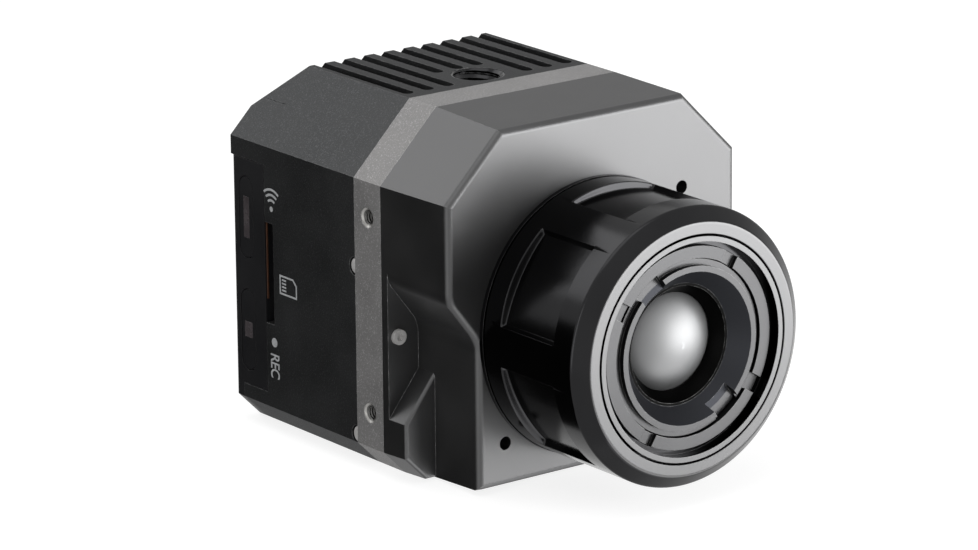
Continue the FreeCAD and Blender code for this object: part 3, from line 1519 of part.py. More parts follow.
# Screws: a head with a socket, and a shank that lies along Y
def screw(name, x, y, z, forward, head_radius, head_depth, shank_radius, shank_length):
    """A screw whose head seats at y; forward is 1 where its head lies in front of y."""
    back = "%s - %s" % (y, shank_length)
    if forward:
        head_start, shank_start = "%s - %s" % (y, head_depth), y
        socket_start = "%s - 0.1" % head_start
    else:
        head_start, shank_start = y, back
        socket_start = "%s + %s * 0.5" % (y, head_depth)
    head = rod(name + "_head", "y", head_radius, head_depth, x, head_start, z)
    shank = rod(name + "_shank", "y", shank_radius, shank_length, x, shank_start, z)
    socket = hexagon(name + "_socket", head_radius + " * 0.5", head_depth + " * 0.5 + 0.1",
                     x, socket_start, z)
    return without(name, fused(name + "_whole", [head, shank]), [socket])


def screws(label, places, y, forward, head_radius, head_depth, shank_radius, shank_length):
    return group(label, [
        screw("%s_%d" % (label, index), x, y, z, forward, head_radius, head_depth,
              shank_radius, shank_length)
        for index, (x, z) in enumerate(places)])


thread = "(tapped_core - thread_play)"
small_thread = "(small_screw_radius - thread_play)"
screws("frame_screws", frame_screw_places, "(%s + screw_head_depth + seat_play)" % ring_front,
       True, "screw_head_radius", "screw_head_depth", thread,
       "(ring_depth - screw_head_depth - seat_play + frame_screw_length)")
screws("nose_screws", nose_screw_places, flange_front, True, "small_head_radius",
       "small_head_depth", small_thread, "(flange_depth + nose_screw_length - seat_play)")
screws("cover_screws", cover_screw_places, "(%s - screw_head_depth - seat_play)" % case_rear,
       False, "screw_head_radius", "screw_head_depth", thread, "board_screw_length")
screws("collar_screws", collar_screw_places("lens_height"), plate_back, False,
       "small_head_radius", "small_head_depth", small_thread,
       "(front_plate + shoulder_depth - seat_play)")
screws("board_screws", standoff_places, "sensor_board_y", True, "screw_head_radius",
       "screw_head_depth", "(stud_radius - thread_play)", "(board_depth + board_screw_length)")


# Checks, and the finished pieces
doc.recompute()
for thing in doc.Objects:
    if "Invalid" in thing.State or "Error" in thing.State:
        raise RuntimeError("%s failed: %s" % (thing.Label, thing.State))
for thing in nodes:
    shape = thing.Shape
    if shape.isNull() or not shape.isValid():
        raise RuntimeError("%s has no valid shape" % thing.Label)
    print("%-22s %2d solids %10.2f mm3" % (thing.Label, len(shape.Solids), shape.Volume))

os.makedirs("parts", exist_ok=True)
for thing in nodes:
    thing.Shape.exportStep("parts/%s.step" % thing.Label)
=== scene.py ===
# %% [markdown]
# # A small thermal imaging camera, dressed
#
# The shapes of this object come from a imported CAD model. This lesson gives them the light,
# the finishes and the fine detail that the solids leave out: thread turns, printed marks,
# grain, lathe marks and worn edges. Each step is a short cell, and says what the thing is on
# the real object before it is made.

# %% Load the fixed frame
import json
import math
import bpy
import numpy as np
from mathutils import Matrix, Vector

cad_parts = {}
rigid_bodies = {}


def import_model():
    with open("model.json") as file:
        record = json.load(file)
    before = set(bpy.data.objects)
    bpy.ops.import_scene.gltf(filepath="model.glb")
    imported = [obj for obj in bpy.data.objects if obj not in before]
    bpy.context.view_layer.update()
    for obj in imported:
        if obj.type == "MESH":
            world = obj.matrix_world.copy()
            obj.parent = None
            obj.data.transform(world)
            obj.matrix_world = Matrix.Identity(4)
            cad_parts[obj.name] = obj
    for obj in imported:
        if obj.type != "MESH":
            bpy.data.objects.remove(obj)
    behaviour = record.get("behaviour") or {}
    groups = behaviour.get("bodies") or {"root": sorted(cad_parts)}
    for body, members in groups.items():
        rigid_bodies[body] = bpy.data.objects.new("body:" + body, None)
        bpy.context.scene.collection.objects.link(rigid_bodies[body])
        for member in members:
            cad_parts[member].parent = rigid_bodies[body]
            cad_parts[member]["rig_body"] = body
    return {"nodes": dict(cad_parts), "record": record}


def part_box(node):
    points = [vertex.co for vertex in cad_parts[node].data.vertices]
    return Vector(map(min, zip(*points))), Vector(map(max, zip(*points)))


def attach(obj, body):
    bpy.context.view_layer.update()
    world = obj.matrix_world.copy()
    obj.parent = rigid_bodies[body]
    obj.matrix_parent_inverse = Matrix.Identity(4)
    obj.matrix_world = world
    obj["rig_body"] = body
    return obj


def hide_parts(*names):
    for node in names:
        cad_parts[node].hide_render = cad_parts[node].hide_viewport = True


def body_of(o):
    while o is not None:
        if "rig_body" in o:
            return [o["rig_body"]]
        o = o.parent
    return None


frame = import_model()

MM = 0.001
scene = bpy.context.scene
nodes = frame["nodes"]
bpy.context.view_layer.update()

# %% [markdown]
# ## Where the photographer stood
#
# The object was photographed from the left of its lens and a little above, through a long
# lens, so parallel edges stay almost parallel. The camera is placed by its measured position,
# with the tiny roll that the picture has.

# %% Camera
CAMERA_PLACE = Vector((-394.85, -525.40, 209.80)) * MM
AZIMUTH, ELEVATION, ROLL = (math.radians(a) for a in (37.026, 16.159, -0.505))
FOCAL_PIXELS, PICTURE_WIDTH, SENSOR = 5491.9, 978, 36.0

back = Vector((-math.sin(AZIMUTH) * math.cos(ELEVATION),
               -math.cos(AZIMUTH) * math.cos(ELEVATION), math.sin(ELEVATION)))
right = (-back).cross(Vector((0, 0, 1))).normalized()
up = right.cross(-back)
side_axis = math.cos(ROLL) * right + math.sin(ROLL) * up
top_axis = -math.sin(ROLL) * right + math.cos(ROLL) * up

camera_data = bpy.data.cameras.new("camera")
camera_data.sensor_width, camera_data.sensor_fit = SENSOR, "HORIZONTAL"
camera_data.lens = FOCAL_PIXELS * SENSOR / PICTURE_WIDTH
camera_data.clip_start, camera_data.clip_end = 0.01, 20.0
camera = bpy.data.objects.new("camera", camera_data)
camera.matrix_world = Matrix((
    (side_axis.x, top_axis.x, back.x, CAMERA_PLACE.x),
    (side_axis.y, top_axis.y, back.y, CAMERA_PLACE.y),
    (side_axis.z, top_axis.z, back.z, CAMERA_PLACE.z), (0, 0, 0, 1)))
scene.collection.objects.link(camera)
scene.camera = camera
scene.view_settings.view_transform = "Standard"
print("lens in mm:", round(camera_data.lens, 2))

# %% [markdown]
# ## A helper for every surface in this file
#
# A new piece is a grid of points worked out by a formula, as whole numpy arrays. This helper
# turns such a grid into a mesh: rows and columns of points, joined by four-sided faces. A grid
# may close on itself, and its two ends may be closed to a point.


# %% Grid to mesh
def grid_faces(rows, columns, closed):
    """Corner numbers of the faces between neighbouring points of a grid, row by row."""
    r, c = np.meshgrid(np.arange(rows - 1), np.arange(columns if closed else columns - 1),
                       indexing="ij")
    n = (c + 1) % columns
    quads = np.stack([r * columns + c, r * columns + n, (r + 1) * columns + n,
                      (r + 1) * columns + c], axis=-1)
    return quads.reshape(-1, 4)


def mesh_piece(name, points, faces, smooth=True):
    """A mesh object from an array of points and lists of corner numbers, without a place."""
    mesh = bpy.data.meshes.new(name)
    mesh.from_pydata(np.asarray(points, float).tolist(), [], [list(map(int, f)) for f in faces])
    mesh.update()
    mesh.polygons.foreach_set("use_smooth", np.full(len(mesh.polygons), smooth))
    piece = bpy.data.objects.new(name, mesh)
    scene.collection.objects.link(piece)
    return piece


def flat_card(name, centre, facing, width, height):
    """A rectangle of that size round a centre, whose face looks along the facing direction."""
    n = Vector(facing).normalized()
    across = n.cross(Vector((0, 0, 1)))
    across = across.normalized() if across.length > 1e-6 else Vector((1, 0, 0))
    along = n.cross(across)
    corners = [Vector(centre) + across * (width * u / 2) - along * (height * v / 2)
               for u, v in ((-1, -1), (-1, 1), (1, 1), (1, -1))]
    return mesh_piece(name, [tuple(c) for c in corners], [(0, 3, 2, 1)], smooth=False)


# %% [markdown]
# ## A white table and soft light
#
# The picture was taken against plain white. The floor and the world show white to the camera
# and to reflections, while five soft boxes light the object: a broad one overhead, one behind
# and above, one low in front on the right, which the front faces mirror, one below for the
# light that a table throws back, and a fill on the left. The front one is strong: the front
# faces get about twice the light of a plain level, and the coats are written darker to suit. A
# dark card behind on the left keeps the sides deep, as a photographer's black flag does.

# %% Floor and world
FLOOR_SIZE, FLOOR_DROP = 6.0, 0.0002
WHITE, AMBIENT = 1.0, 0.42
PAPER_GREY, PAPER_GLOW = 0.35, 0.82


def background_mask(tree):
    """1 for rays that should see the white background: camera, mirror and see-through rays."""
    path = tree.nodes.new("ShaderNodeLightPath")
    first = tree.nodes.new("ShaderNodeMath")
    first.operation = "MAXIMUM"
    tree.links.new(path.outputs["Is Camera Ray"], first.inputs[0])
    tree.links.new(path.outputs["Is Glossy Ray"], first.inputs[1])
    second = tree.nodes.new("ShaderNodeMath")
    second.operation = "MAXIMUM"
    tree.links.new(first.outputs[0], second.inputs[0])
    tree.links.new(path.outputs["Is Transmission Ray"], second.inputs[1])
    return second.outputs[0]


world = bpy.data.worlds.new("studio")
world.use_nodes = True
scene.world = world
tree = world.node_tree
light_level = tree.nodes.new("ShaderNodeMix")
light_level.data_type = "RGBA"
light_level.inputs["A"].default_value = (AMBIENT, AMBIENT, AMBIENT, 1)
light_level.inputs["B"].default_value = (WHITE, WHITE, WHITE, 1)
tree.links.new(background_mask(tree), light_level.inputs["Factor"])
tree.links.new(light_level.outputs["Result"], tree.nodes["Background"].inputs["Color"])

floor = flat_card("floor", (0, 0, -FLOOR_DROP), (0, 0, 1), FLOOR_SIZE, FLOOR_SIZE)
floor.visible_glossy = False
floor.visible_shadow = False

paper = bpy.data.materials.new("white_paper")
paper.use_nodes = True
tree = paper.node_tree
paper_shader = tree.nodes["Principled BSDF"]
paper_shader.inputs["Base Color"].default_value = (PAPER_GREY, PAPER_GREY, PAPER_GREY, 1)
paper_shader.inputs["Roughness"].default_value = 0.9
paper_shader.inputs["Specular IOR Level"].default_value = 0.0
paper_shader.inputs["Emission Color"].default_value = (1, 1, 1, 1)
glow = tree.nodes.new("ShaderNodeMath")
glow.operation = "MULTIPLY"
glow.inputs[1].default_value = PAPER_GLOW
tree.links.new(background_mask(tree), glow.inputs[0])
tree.links.new(glow.outputs[0], paper_shader.inputs["Emission Strength"])
floor.data.materials.append(paper)


# %% Lamps and the dark card
OBJECT_CENTRE = Vector((0, -0.01, 0.022))


def soft_box(name, direction, distance, width, height, radiance):
    """An area lamp that looks at the object from that direction. Radiance 1 is as bright as
    white."""
    lamp = bpy.data.lights.new(name, "AREA")
    lamp.shape, lamp.size, lamp.size_y = "RECTANGLE", width, height
    lamp.energy = radiance * math.pi * width * height
    holder = bpy.data.objects.new(name, lamp)
    away = Vector(direction).normalized()
    holder.location = OBJECT_CENTRE + away * distance
    holder.rotation_mode = "QUATERNION"
    holder.rotation_quaternion = away.to_track_quat("Z", "Y")
    scene.collection.objects.link(holder)


felt = bpy.data.materials.new("black_felt")
felt.use_nodes = True
felt_shader = felt.node_tree.nodes["Principled BSDF"]
felt_shader.inputs["Base Color"].default_value = (0.01, 0.01, 0.01, 1)
felt_shader.inputs["Roughness"].default_value = 1.0


def dark_card(name, centre, facing, width, height):
    """A black card that only mirrors can see, as a photographer's flag keeps a side deep."""
    card = flat_card(name, centre, facing, width, height)
    card.visible_camera = card.visible_diffuse = False
    card.visible_shadow = card.visible_transmission = False
    card.data.materials.append(felt)


soft_box("overhead", (-0.25, -0.1, 1.0), 0.55, 0.45, 0.45, 1.3)
soft_box("back_top", (-0.28, 0.77, 0.58), 0.60, 0.40, 0.30, 1.9)
soft_box("low_front", (0.63, -0.77, 0.0), 0.33, 0.32, 0.22, 8.3)
soft_box("table_bounce", (0.30, -0.55, -0.78), 0.40, 0.40, 0.30, 1.8)
soft_box("left_fill", (-1.0, -0.45, 0.12), 0.60, 0.18, 0.42, 1.9)
dark_card("left_card", (-0.34, 0.40, -0.20), (1, -1.1, 0.1), 0.80, 0.62)

# %% [markdown]
# ## Effects that several finishes share
#
# Cast, blasted, turned and moulded surfaces differ in their fine relief, and every handled
# edge loses some of its coat; the same edge mask also paints a lighter line along edges as a
# painted highlight. Each effect is a node group with named inputs, built once, and each
# material below sets its own values. All of them read Object coordinates in metres, so a
# grain of 0.1 mm stays 0.1 mm on every piece.


# %% Group helpers
def new_group(name, inputs, outputs):
    """An empty shader group with its sockets: inputs (name, kind, value), outputs (name, kind)."""
    group = bpy.data.node_groups.new(name, "ShaderNodeTree")
    for label, kind, value in inputs:
        socket = group.interface.new_socket(label, in_out="INPUT", socket_type=kind)
        if value is not None:
            socket.default_value = value
    for label, kind in outputs:
        group.interface.new_socket(label, in_out="OUTPUT", socket_type=kind)
    return group, group.nodes.new("NodeGroupInput"), group.nodes.new("NodeGroupOutput")


def math_node(tree, operation, first, second=None, third=None):
    """A Math node; each value is a socket to link or a number to set."""
    step = tree.nodes.new("ShaderNodeMath")
    step.operation = operation
    for slot, value in enumerate((first, second, third)):
        if value is None:
            continue
        if isinstance(value, (int, float)):
            step.inputs[slot].default_value = value
        else:
            tree.links.new(value, step.inputs[slot])
    return step.outputs[0]


def noise_node(tree, vector, scale, detail=2.0, roughness=0.5):
    """A Noise Texture over a vector; its scale is a socket or a number."""
    noise = tree.nodes.new("ShaderNodeTexNoise")
    noise.inputs["Detail"].default_value = detail
    noise.inputs["Roughness"].default_value = roughness
    if isinstance(scale, (int, float)):
        noise.inputs["Scale"].default_value = scale
    else:
        tree.links.new(scale, noise.inputs["Scale"])
    tree.links.new(vector, noise.inputs["Vector"])
    return noise.outputs["Fac"]


def remap(tree, value, low, high, to_low=0.0, to_high=1.0):
    """A Map Range node that stays inside its ends; low and high may be sockets."""
    step = tree.nodes.new("ShaderNodeMapRange")
    tree.links.new(value, step.inputs["Value"])
    for label, number in (("From Min", low), ("From Max", high),
                          ("To Min", to_low), ("To Max", to_high)):
        if isinstance(number, (int, float)):
            step.inputs[label].default_value = number
        else:
            tree.links.new(number, step.inputs[label])
    return step.outputs["Result"]


# %% Grain, for cast, blasted and moulded skins
def build_grain():
    """Relief of two noises, one of the grain's size and one three times finer, added up."""
    group, given, result = new_group(
        "grain", [("Vector", "NodeSocketVector", None), ("Size", "NodeSocketFloat", 0.0001)],
        [("Height", "NodeSocketFloat"), ("Speckle", "NodeSocketFloat")])
    scale = math_node(group, "DIVIDE", 1.0, given.outputs["Size"])
    coarse = noise_node(group, given.outputs["Vector"], scale, 3.0, 0.6)
    fine = noise_node(group, given.outputs["Vector"], math_node(group, "MULTIPLY", scale, 3.1))
    height = math_node(group, "MULTIPLY_ADD", fine, 0.45, coarse)
    group.links.new(height, result.inputs["Height"])
    group.links.new(remap(group, coarse, 0.55, 0.68), result.inputs["Speckle"])
    return group


# %% Lathe marks, for everything turned about the lens axis
LENS_HEIGHT = 19.6 * MM


def build_lathe():
    """Rings round the Y axis: a one-way noise of radius plus depth, on faces and walls alike."""
    group, given, result = new_group(
        "lathe_marks",
        [("Vector", "NodeSocketVector", None), ("Pitch", "NodeSocketFloat", 0.0001),
         ("Axis", "NodeSocketVector", (0.0, 0.0, LENS_HEIGHT))],
        [("Height", "NodeSocketFloat"), ("Radius", "NodeSocketFloat"),
         ("Depth", "NodeSocketFloat")])
    from_axis = group.nodes.new("ShaderNodeVectorMath")
    from_axis.operation = "SUBTRACT"
    group.links.new(given.outputs["Vector"], from_axis.inputs[0])
    group.links.new(given.outputs["Axis"], from_axis.inputs[1])
    parts = group.nodes.new("ShaderNodeSeparateXYZ")
    group.links.new(from_axis.outputs[0], parts.inputs[0])
    squared = math_node(group, "MULTIPLY", parts.outputs["X"], parts.outputs["X"])
    squared = math_node(group, "MULTIPLY_ADD", parts.outputs["Z"], parts.outputs["Z"], squared)
    radius = math_node(group, "SQRT", squared)
    across = math_node(group, "ADD", radius, parts.outputs["Y"])
    rings = group.nodes.new("ShaderNodeTexNoise")
    rings.noise_dimensions = "1D"
    rings.inputs["Scale"].default_value = 1.0
    rings.inputs["Detail"].default_value = 3.0
    group.links.new(math_node(group, "DIVIDE", across, given.outputs["Pitch"]), rings.inputs["W"])
    group.links.new(rings.outputs["Fac"], result.inputs["Height"])
    group.links.new(radius, result.inputs["Radius"])
    group.links.new(parts.outputs["Y"], result.inputs["Depth"])
    return group


# %% Streaks, for rolled and brushed metal
def build_streaks():
    """Noise squeezed along the axis that Stretch makes small, which leaves long thin lines."""
    group, given, result = new_group(
        "streaks", [("Vector", "NodeSocketVector", None),
                    ("Stretch", "NodeSocketVector", (1.0, 0.03, 1.0)),
                    ("Size", "NodeSocketFloat", 0.0001)],
        [("Height", "NodeSocketFloat")])
    squeezed = group.nodes.new("ShaderNodeVectorMath")
    squeezed.operation = "MULTIPLY"
    group.links.new(given.outputs["Vector"], squeezed.inputs[0])
    group.links.new(given.outputs["Stretch"], squeezed.inputs[1])
    scale = math_node(group, "DIVIDE", 1.0, given.outputs["Size"])
    group.links.new(noise_node(group, squeezed.outputs[0], scale, 4.0, 0.65),
                    result.inputs["Height"])
    return group


# %% Clouds, for uneven coats and the grease of fingers
def build_clouds():
    """Slow noise from 0 to 1 with a mean near one half."""
    group, given, result = new_group(
        "clouds", [("Vector", "NodeSocketVector", None), ("Size", "NodeSocketFloat", 0.01)],
        [("Value", "NodeSocketFloat")])
    scale = math_node(group, "DIVIDE", 1.0, given.outputs["Size"])
    slow = noise_node(group, given.outputs["Vector"], scale, 3.0, 0.55)
    group.links.new(remap(group, slow, 0.3, 0.7), result.inputs["Value"])
    return group


# %% Edge wear and painted highlight: where a coat has rubbed thin, and a lighter line where an edge catches light
def build_edge_wear_and_highlight():
    """How far the rounded normal leans from the true one: 1 at sharp edges, broken by noise. The
    mask marks worn coat and also a painted highlight along edges.
    """
    group, given, result = new_group(
        "edge_wear_and_painted_highlight", [("Vector", "NodeSocketVector", None), ("Radius", "NodeSocketFloat", 0.0001),
                      ("Amount", "NodeSocketFloat", 0.5)],
        [("Mask", "NodeSocketFloat")])
    rounded = group.nodes.new("ShaderNodeBevel")
    rounded.samples = 6
    group.links.new(given.outputs["Radius"], rounded.inputs["Radius"])
    surface = group.nodes.new("ShaderNodeNewGeometry")
    lean = group.nodes.new("ShaderNodeVectorMath")
    lean.operation = "DOT_PRODUCT"
    group.links.new(rounded.outputs[0], lean.inputs[0])
    group.links.new(surface.outputs["True Normal"], lean.inputs[1])
    edge = remap(group, lean.outputs["Value"], 0.995, 0.90)
    patches = noise_node(group, given.outputs["Vector"], 1400.0, 4.0, 0.6)
    broken = remap(group, patches, 0.38, 0.62)
    mask = math_node(group, "MULTIPLY", edge, broken)
    group.links.new(math_node(group, "MULTIPLY", mask, given.outputs["Amount"]),
                    result.inputs["Mask"])
    return group


GRAIN, LATHE, STREAKS = build_grain(), build_lathe(), build_streaks()
CLOUDS, EDGE_WEAR_AND_HIGHLIGHT = build_clouds(), build_edge_wear_and_highlight()
print("shared effects:", [g.name for g in (GRAIN, LATHE, STREAKS, CLOUDS, EDGE_WEAR_AND_HIGHLIGHT)])


# %% [markdown]
# ## Building one finish
#
# A finish is a colour, how metallic and how rough it is, its relief, and its worn edges. The
# colour and the roughness drift a little with the clouds, the relief goes through a Bump node,
# and worn edges show the metal beneath; that lighter edge colour is also a painted highlight
# along the edges. The Bevel node under the Bump rounds the light at each edge, because no real
# edge is perfectly sharp.


# %% Finish helper
def use_group(tree, group, vector, **values):
    """Places a shared group in a material and sets its inputs by name."""
    placed = tree.nodes.new("ShaderNodeGroup")
    placed.node_tree = group
    tree.links.new(vector, placed.inputs["Vector"])
    for label, value in values.items():
        placed.inputs[label].default_value = value
    return placed


def blend_colour(tree, factor, first, second):
    """A Mix node between two colours; each is a socket or an (r, g, b)."""
    mix = tree.nodes.new("ShaderNodeMix")
    mix.data_type = "RGBA"
    tree.links.new(factor, mix.inputs["Factor"])
    for label, value in (("A", first), ("B", second)):
        if isinstance(value, tuple):
            mix.inputs[label].default_value = (*value, 1)
        else:
            tree.links.new(value, mix.inputs[label])
    return mix.outputs["Result"]


def finish(name, dark, light, roughness, metallic=0.0, relief=None, depth=0.0, cloud=0.012,
           wear_and_highlight=None, wear_and_highlight_radius=0.00008, round_edge=0.00006, speckle=None, zones=(), **plain):
    """A Principled material. dark and light are the ends of the colour's drift, roughness its two
    ends, relief (group, values), depth the relief's height in metres, the edge colour and its
    amount (colour, amount): a lighter colour on edges that stands for worn coat and also paints a
    highlight along them, speckle the colour of the grain's tips, and zones a list of (socket,
    low, high, colour, roughness): parts of a turned piece, by their radius or depth, with a
    colour set for that part, which is painted shade where the zone lies deep in the lens bore."""
    material = bpy.data.materials.new(name)
    material.use_nodes = True
    tree = material.node_tree
    shader = tree.nodes["Principled BSDF"]
    shader.inputs["Metallic"].default_value = metallic
    for label, value in plain.items():
        shader.inputs[label.replace("_", " ")].default_value = value
    where = tree.nodes.new("ShaderNodeTexCoord").outputs["Object"]
    drift = use_group(tree, CLOUDS, where, Size=cloud).outputs["Value"]
    colour = blend_colour(tree, drift, dark, light)
    rough = remap(tree, drift, 0.0, 1.0, *roughness)
    if speckle:
        tips = use_group(tree, GRAIN, where, **relief[1]).outputs["Speckle"]
        colour = blend_colour(tree, tips, colour, speckle)
    for measure, low, high, zone_colour, zone_rough in zones:
        inside = remap(tree, use_group(tree, LATHE, where).outputs[measure], low, high)
        colour = blend_colour(tree, inside, colour, zone_colour)
        rough = remap(tree, inside, 0.0, 1.0, rough, zone_rough)
    # lighter edges: worn coat, and also a painted highlight along each edge
    if wear_and_highlight:
        mask = use_group(tree, EDGE_WEAR_AND_HIGHLIGHT, where, Radius=wear_and_highlight_radius, Amount=wear_and_highlight[1]).outputs["Mask"]
        colour = blend_colour(tree, mask, colour, wear_and_highlight[0])
    tree.links.new(colour, shader.inputs["Base Color"])
    tree.links.new(rough, shader.inputs["Roughness"])
    soft_edge = tree.nodes.new("ShaderNodeBevel")
    soft_edge.samples = 6
    soft_edge.inputs["Radius"].default_value = round_edge
    normal = soft_edge.outputs[0]
    if relief:
        group, values = relief
        height = use_group(tree, group, where, **values).outputs["Height"]
        bump = tree.nodes.new("ShaderNodeBump")
        bump.inputs["Distance"].default_value = depth
        tree.links.new(height, bump.inputs["Height"])
        tree.links.new(normal, bump.inputs["Normal"])
        normal = bump.outputs[0]
    tree.links.new(normal, shader.inputs["Normal"])
    return material


# %% [markdown]
# ## The finishes of this camera
#
# The rear housing is a cast case with a fine matte coat that shows a light speckle. The front
# cover has a satin metallic coat. The band between them is bare blasted metal. The lens parts
# are turned and black anodised, which is dark but mirrors a lamp strongly. The lens itself is a
# coated infrared element, opaque and metallic, with a soft broad highlight.

# %% Finishes
# The edge colours given with the finishes below are lighter edges: worn coat, and also a painted
# highlight along edges.
finishes = {
    "housing_coat": finish(
        "cast_coat", (0.042, 0.043, 0.044), (0.054, 0.055, 0.056), (0.44, 0.52), 0.9,
        (GRAIN, {"Size": 0.00020}), 0.000026, wear_and_highlight=((0.26, 0.26, 0.26), 0.6), wear_and_highlight_radius=0.00016,
        speckle=(0.085, 0.086, 0.088), Specular_Tint=(0.5, 0.5, 0.5, 1)),
    "cover_coat": finish(
        "satin_coat", (0.082, 0.082, 0.083), (0.092, 0.092, 0.093), (0.37, 0.43), 1.0,
        (GRAIN, {"Size": 0.00010}), 0.000003, wear_and_highlight=((0.45, 0.45, 0.45), 0.5),
        Specular_Tint=(0.72, 0.72, 0.72, 1)),
    "black_plastic": finish(
        "moulded_black", (0.006, 0.006, 0.007), (0.009, 0.009, 0.010), (0.42, 0.52), 0.0,
        (GRAIN, {"Size": 0.00012}), 0.000008, Specular_IOR_Level=0.30),
    "bare_frame": finish(
        "blasted_metal", (0.215, 0.211, 0.210), (0.265, 0.260, 0.258), (0.52, 0.62), 0.45,
        (GRAIN, {"Size": 0.00018}), 0.000030, cloud=0.006, wear_and_highlight=((0.75, 0.75, 0.74), 0.8),
        speckle=(0.42, 0.415, 0.41), Specular_Tint=(0.5, 0.5, 0.5, 1)),
    "black_anodised": finish(
        "black_anodised", (0.022, 0.022, 0.023), (0.028, 0.028, 0.029), (0.15, 0.20), 1.0,
        (LATHE, {"Pitch": 0.00005}), 0.000001, wear_and_highlight=((0.25, 0.25, 0.25), 0.15),
        zones=[("Depth", -0.04198, -0.04202, (0.084, 0.084, 0.085), 0.32)],
        Specular_Tint=(0.8, 0.8, 0.8, 1)),
    "grey_anodised": finish(
        "grey_anodised", (0.047, 0.047, 0.048), (0.055, 0.055, 0.056), (0.30, 0.36), 1.0,
        (LATHE, {"Pitch": 0.00005}), 0.000002, wear_and_highlight=((0.40, 0.40, 0.39), 0.35),
        # The second zone paints the bore walls inside 7.54 mm near-black: painted shade of the deep
        # well round the lens.
        zones=[("Radius", 0.00945, 0.00940, (0.030, 0.031, 0.035), 0.50),
               ("Radius", 0.00758, 0.00754, (0.003, 0.003, 0.003), 0.40)],
        Specular_Tint=(0.5, 0.5, 0.5, 1)),
    "steel": finish(
        "plain_steel", (0.48, 0.47, 0.46), (0.60, 0.59, 0.58), (0.24, 0.34), 1.0,
        (STREAKS, {"Size": 0.00006}), 0.000003, cloud=0.003),
    "rubber": finish(
        "seal_rubber", (0.014, 0.014, 0.014), (0.020, 0.020, 0.020), (0.60, 0.72), 0.0,
        (GRAIN, {"Size": 0.00008}), 0.000004, Specular_IOR_Level=0.35),
    "germanium": finish(
        "infrared_glass", (0.185, 0.187, 0.189), (0.21, 0.212, 0.214), (0.48, 0.54), 1.0,
        round_edge=0.00002),
    "board": finish(
        "circuit_board", (0.20, 0.065, 0.020), (0.30, 0.105, 0.035), (0.35, 0.5), 0.0,
        (STREAKS, {"Size": 0.0002}), 0.000006, cloud=0.004),
    "chip_black": finish(
        "moulded_chip", (0.020, 0.020, 0.021), (0.032, 0.032, 0.033), (0.5, 0.62), 0.0,
        (GRAIN, {"Size": 0.00010}), 0.000006, cloud=0.003),
    "ceramic": finish(
        "ceramic", (0.70, 0.69, 0.65), (0.78, 0.77, 0.73), (0.35, 0.45), 0.0,
        (GRAIN, {"Size": 0.00006}), 0.000002, cloud=0.003),
    "thermal_pad": finish(
        "thermal_pad", (0.42, 0.47, 0.52), (0.50, 0.55, 0.60), (0.7, 0.8), 0.0,
        (GRAIN, {"Size": 0.0002}), 0.00001, cloud=0.003),
    "dark_window": finish(
        "smoked_window", (0.055, 0.047, 0.050), (0.085, 0.074, 0.078), (0.22, 0.30), 0.0,
        (STREAKS, {"Size": 0.0003, "Stretch": (1.0, 1.0, 0.02)}), 0.000010, cloud=0.002),
    "clear_led": finish(
        "moulded_lamp", (0.75, 0.70, 0.60), (0.85, 0.80, 0.70), (0.15, 0.2), 0.0,
        (GRAIN, {"Size": 0.0001}), 0.000001, cloud=0.002),
}
cut_metal = finish(
    "cut_metal", (0.26, 0.255, 0.245), (0.34, 0.333, 0.32), (0.28, 0.38), 1.0,
    (GRAIN, {"Size": 0.00005}), 0.000001, cloud=0.001)
tab_metal = finish(
    "tab_metal", (0.52, 0.51, 0.50), (0.62, 0.61, 0.60), (0.45, 0.55), 0.25,
    (GRAIN, {"Size": 0.00008}), 0.000004, cloud=0.001)
board_rim = finish(
    "board_rim", (0.055, 0.021, 0.009), (0.095, 0.035, 0.014), (0.4, 0.5), 0.0,
    (STREAKS, {"Size": 0.0002}), 0.000006, cloud=0.001)
# The thread turns deep in each band hole: the cut metal painted much darker, as painted shade
# inside the hole.
thread_metal_painted_shade = finish(
    "thread_metal_painted_shade", (0.07, 0.069, 0.067), (0.11, 0.108, 0.105), (0.30, 0.38), 1.0,
    (GRAIN, {"Size": 0.00005}), 0.000001, cloud=0.001)
print_ink = finish(
    "print_ink", (0.40, 0.41, 0.42), (0.50, 0.51, 0.52), (0.5, 0.6), 0.0,
    (GRAIN, {"Size": 0.00006}), 0.000002, cloud=0.001)

slot_of = {part["node"]: part["material_slot"] for part in frame["record"]["subparts"]}
for name, slot in slot_of.items():
    shell = nodes[name]
    shell.data.materials.clear()
    shell.data.materials.append(tab_metal if name == "nose_screws" else finishes[slot])
print("finishes:", len(finishes), "on", len(slot_of), "nodes")

# %% [markdown]
# ## Threads
#
# A thread's turns are a wall whose radius rises and falls along the axis, and that shifts by
# one pitch in each turn. So one formula of height and angle makes the 1/4-20 tripod thread in
# the roof and the small M2 threads of the band.


# %% Turned pieces and thread turns
FLANK_SLOPE, SHARP_ANGLE = 1.35, 32


def turned_piece(name, heights, radii, loop=False):
    """A grid round the Z axis: point (r cos a, r sin a, z), with radius r for each row and angle a.
    Its first and last rows close to a point, or meet each other where loop is set."""
    radii = np.asarray(radii, float)
    rows, columns = radii.shape
    angle = np.linspace(0, 2 * math.pi, columns, endpoint=False)
    z = np.repeat(np.asarray(heights, float)[:, None], columns, axis=1)
    points = np.stack([radii * np.cos(angle), radii * np.sin(angle), z], axis=-1).reshape(-1, 3)
    faces = grid_faces(rows, columns, True).tolist()
    if loop:
        start, end = np.arange(columns), (rows - 1) * columns + np.arange(columns)
        faces += np.stack([end, np.roll(end, -1), np.roll(start, -1), start], axis=-1).tolist()
        return mesh_piece(name, points, faces)
    first, last = rows * columns, rows * columns + 1
    points = np.vstack([points, (0, 0, heights[0]), (0, 0, heights[-1])])
    for c in range(columns):
        n = (c + 1) % columns
        faces.append((first, n, c))
        faces.append(((rows - 1) * columns + c, (rows - 1) * columns + n, last))
    return mesh_piece(name, points, faces)


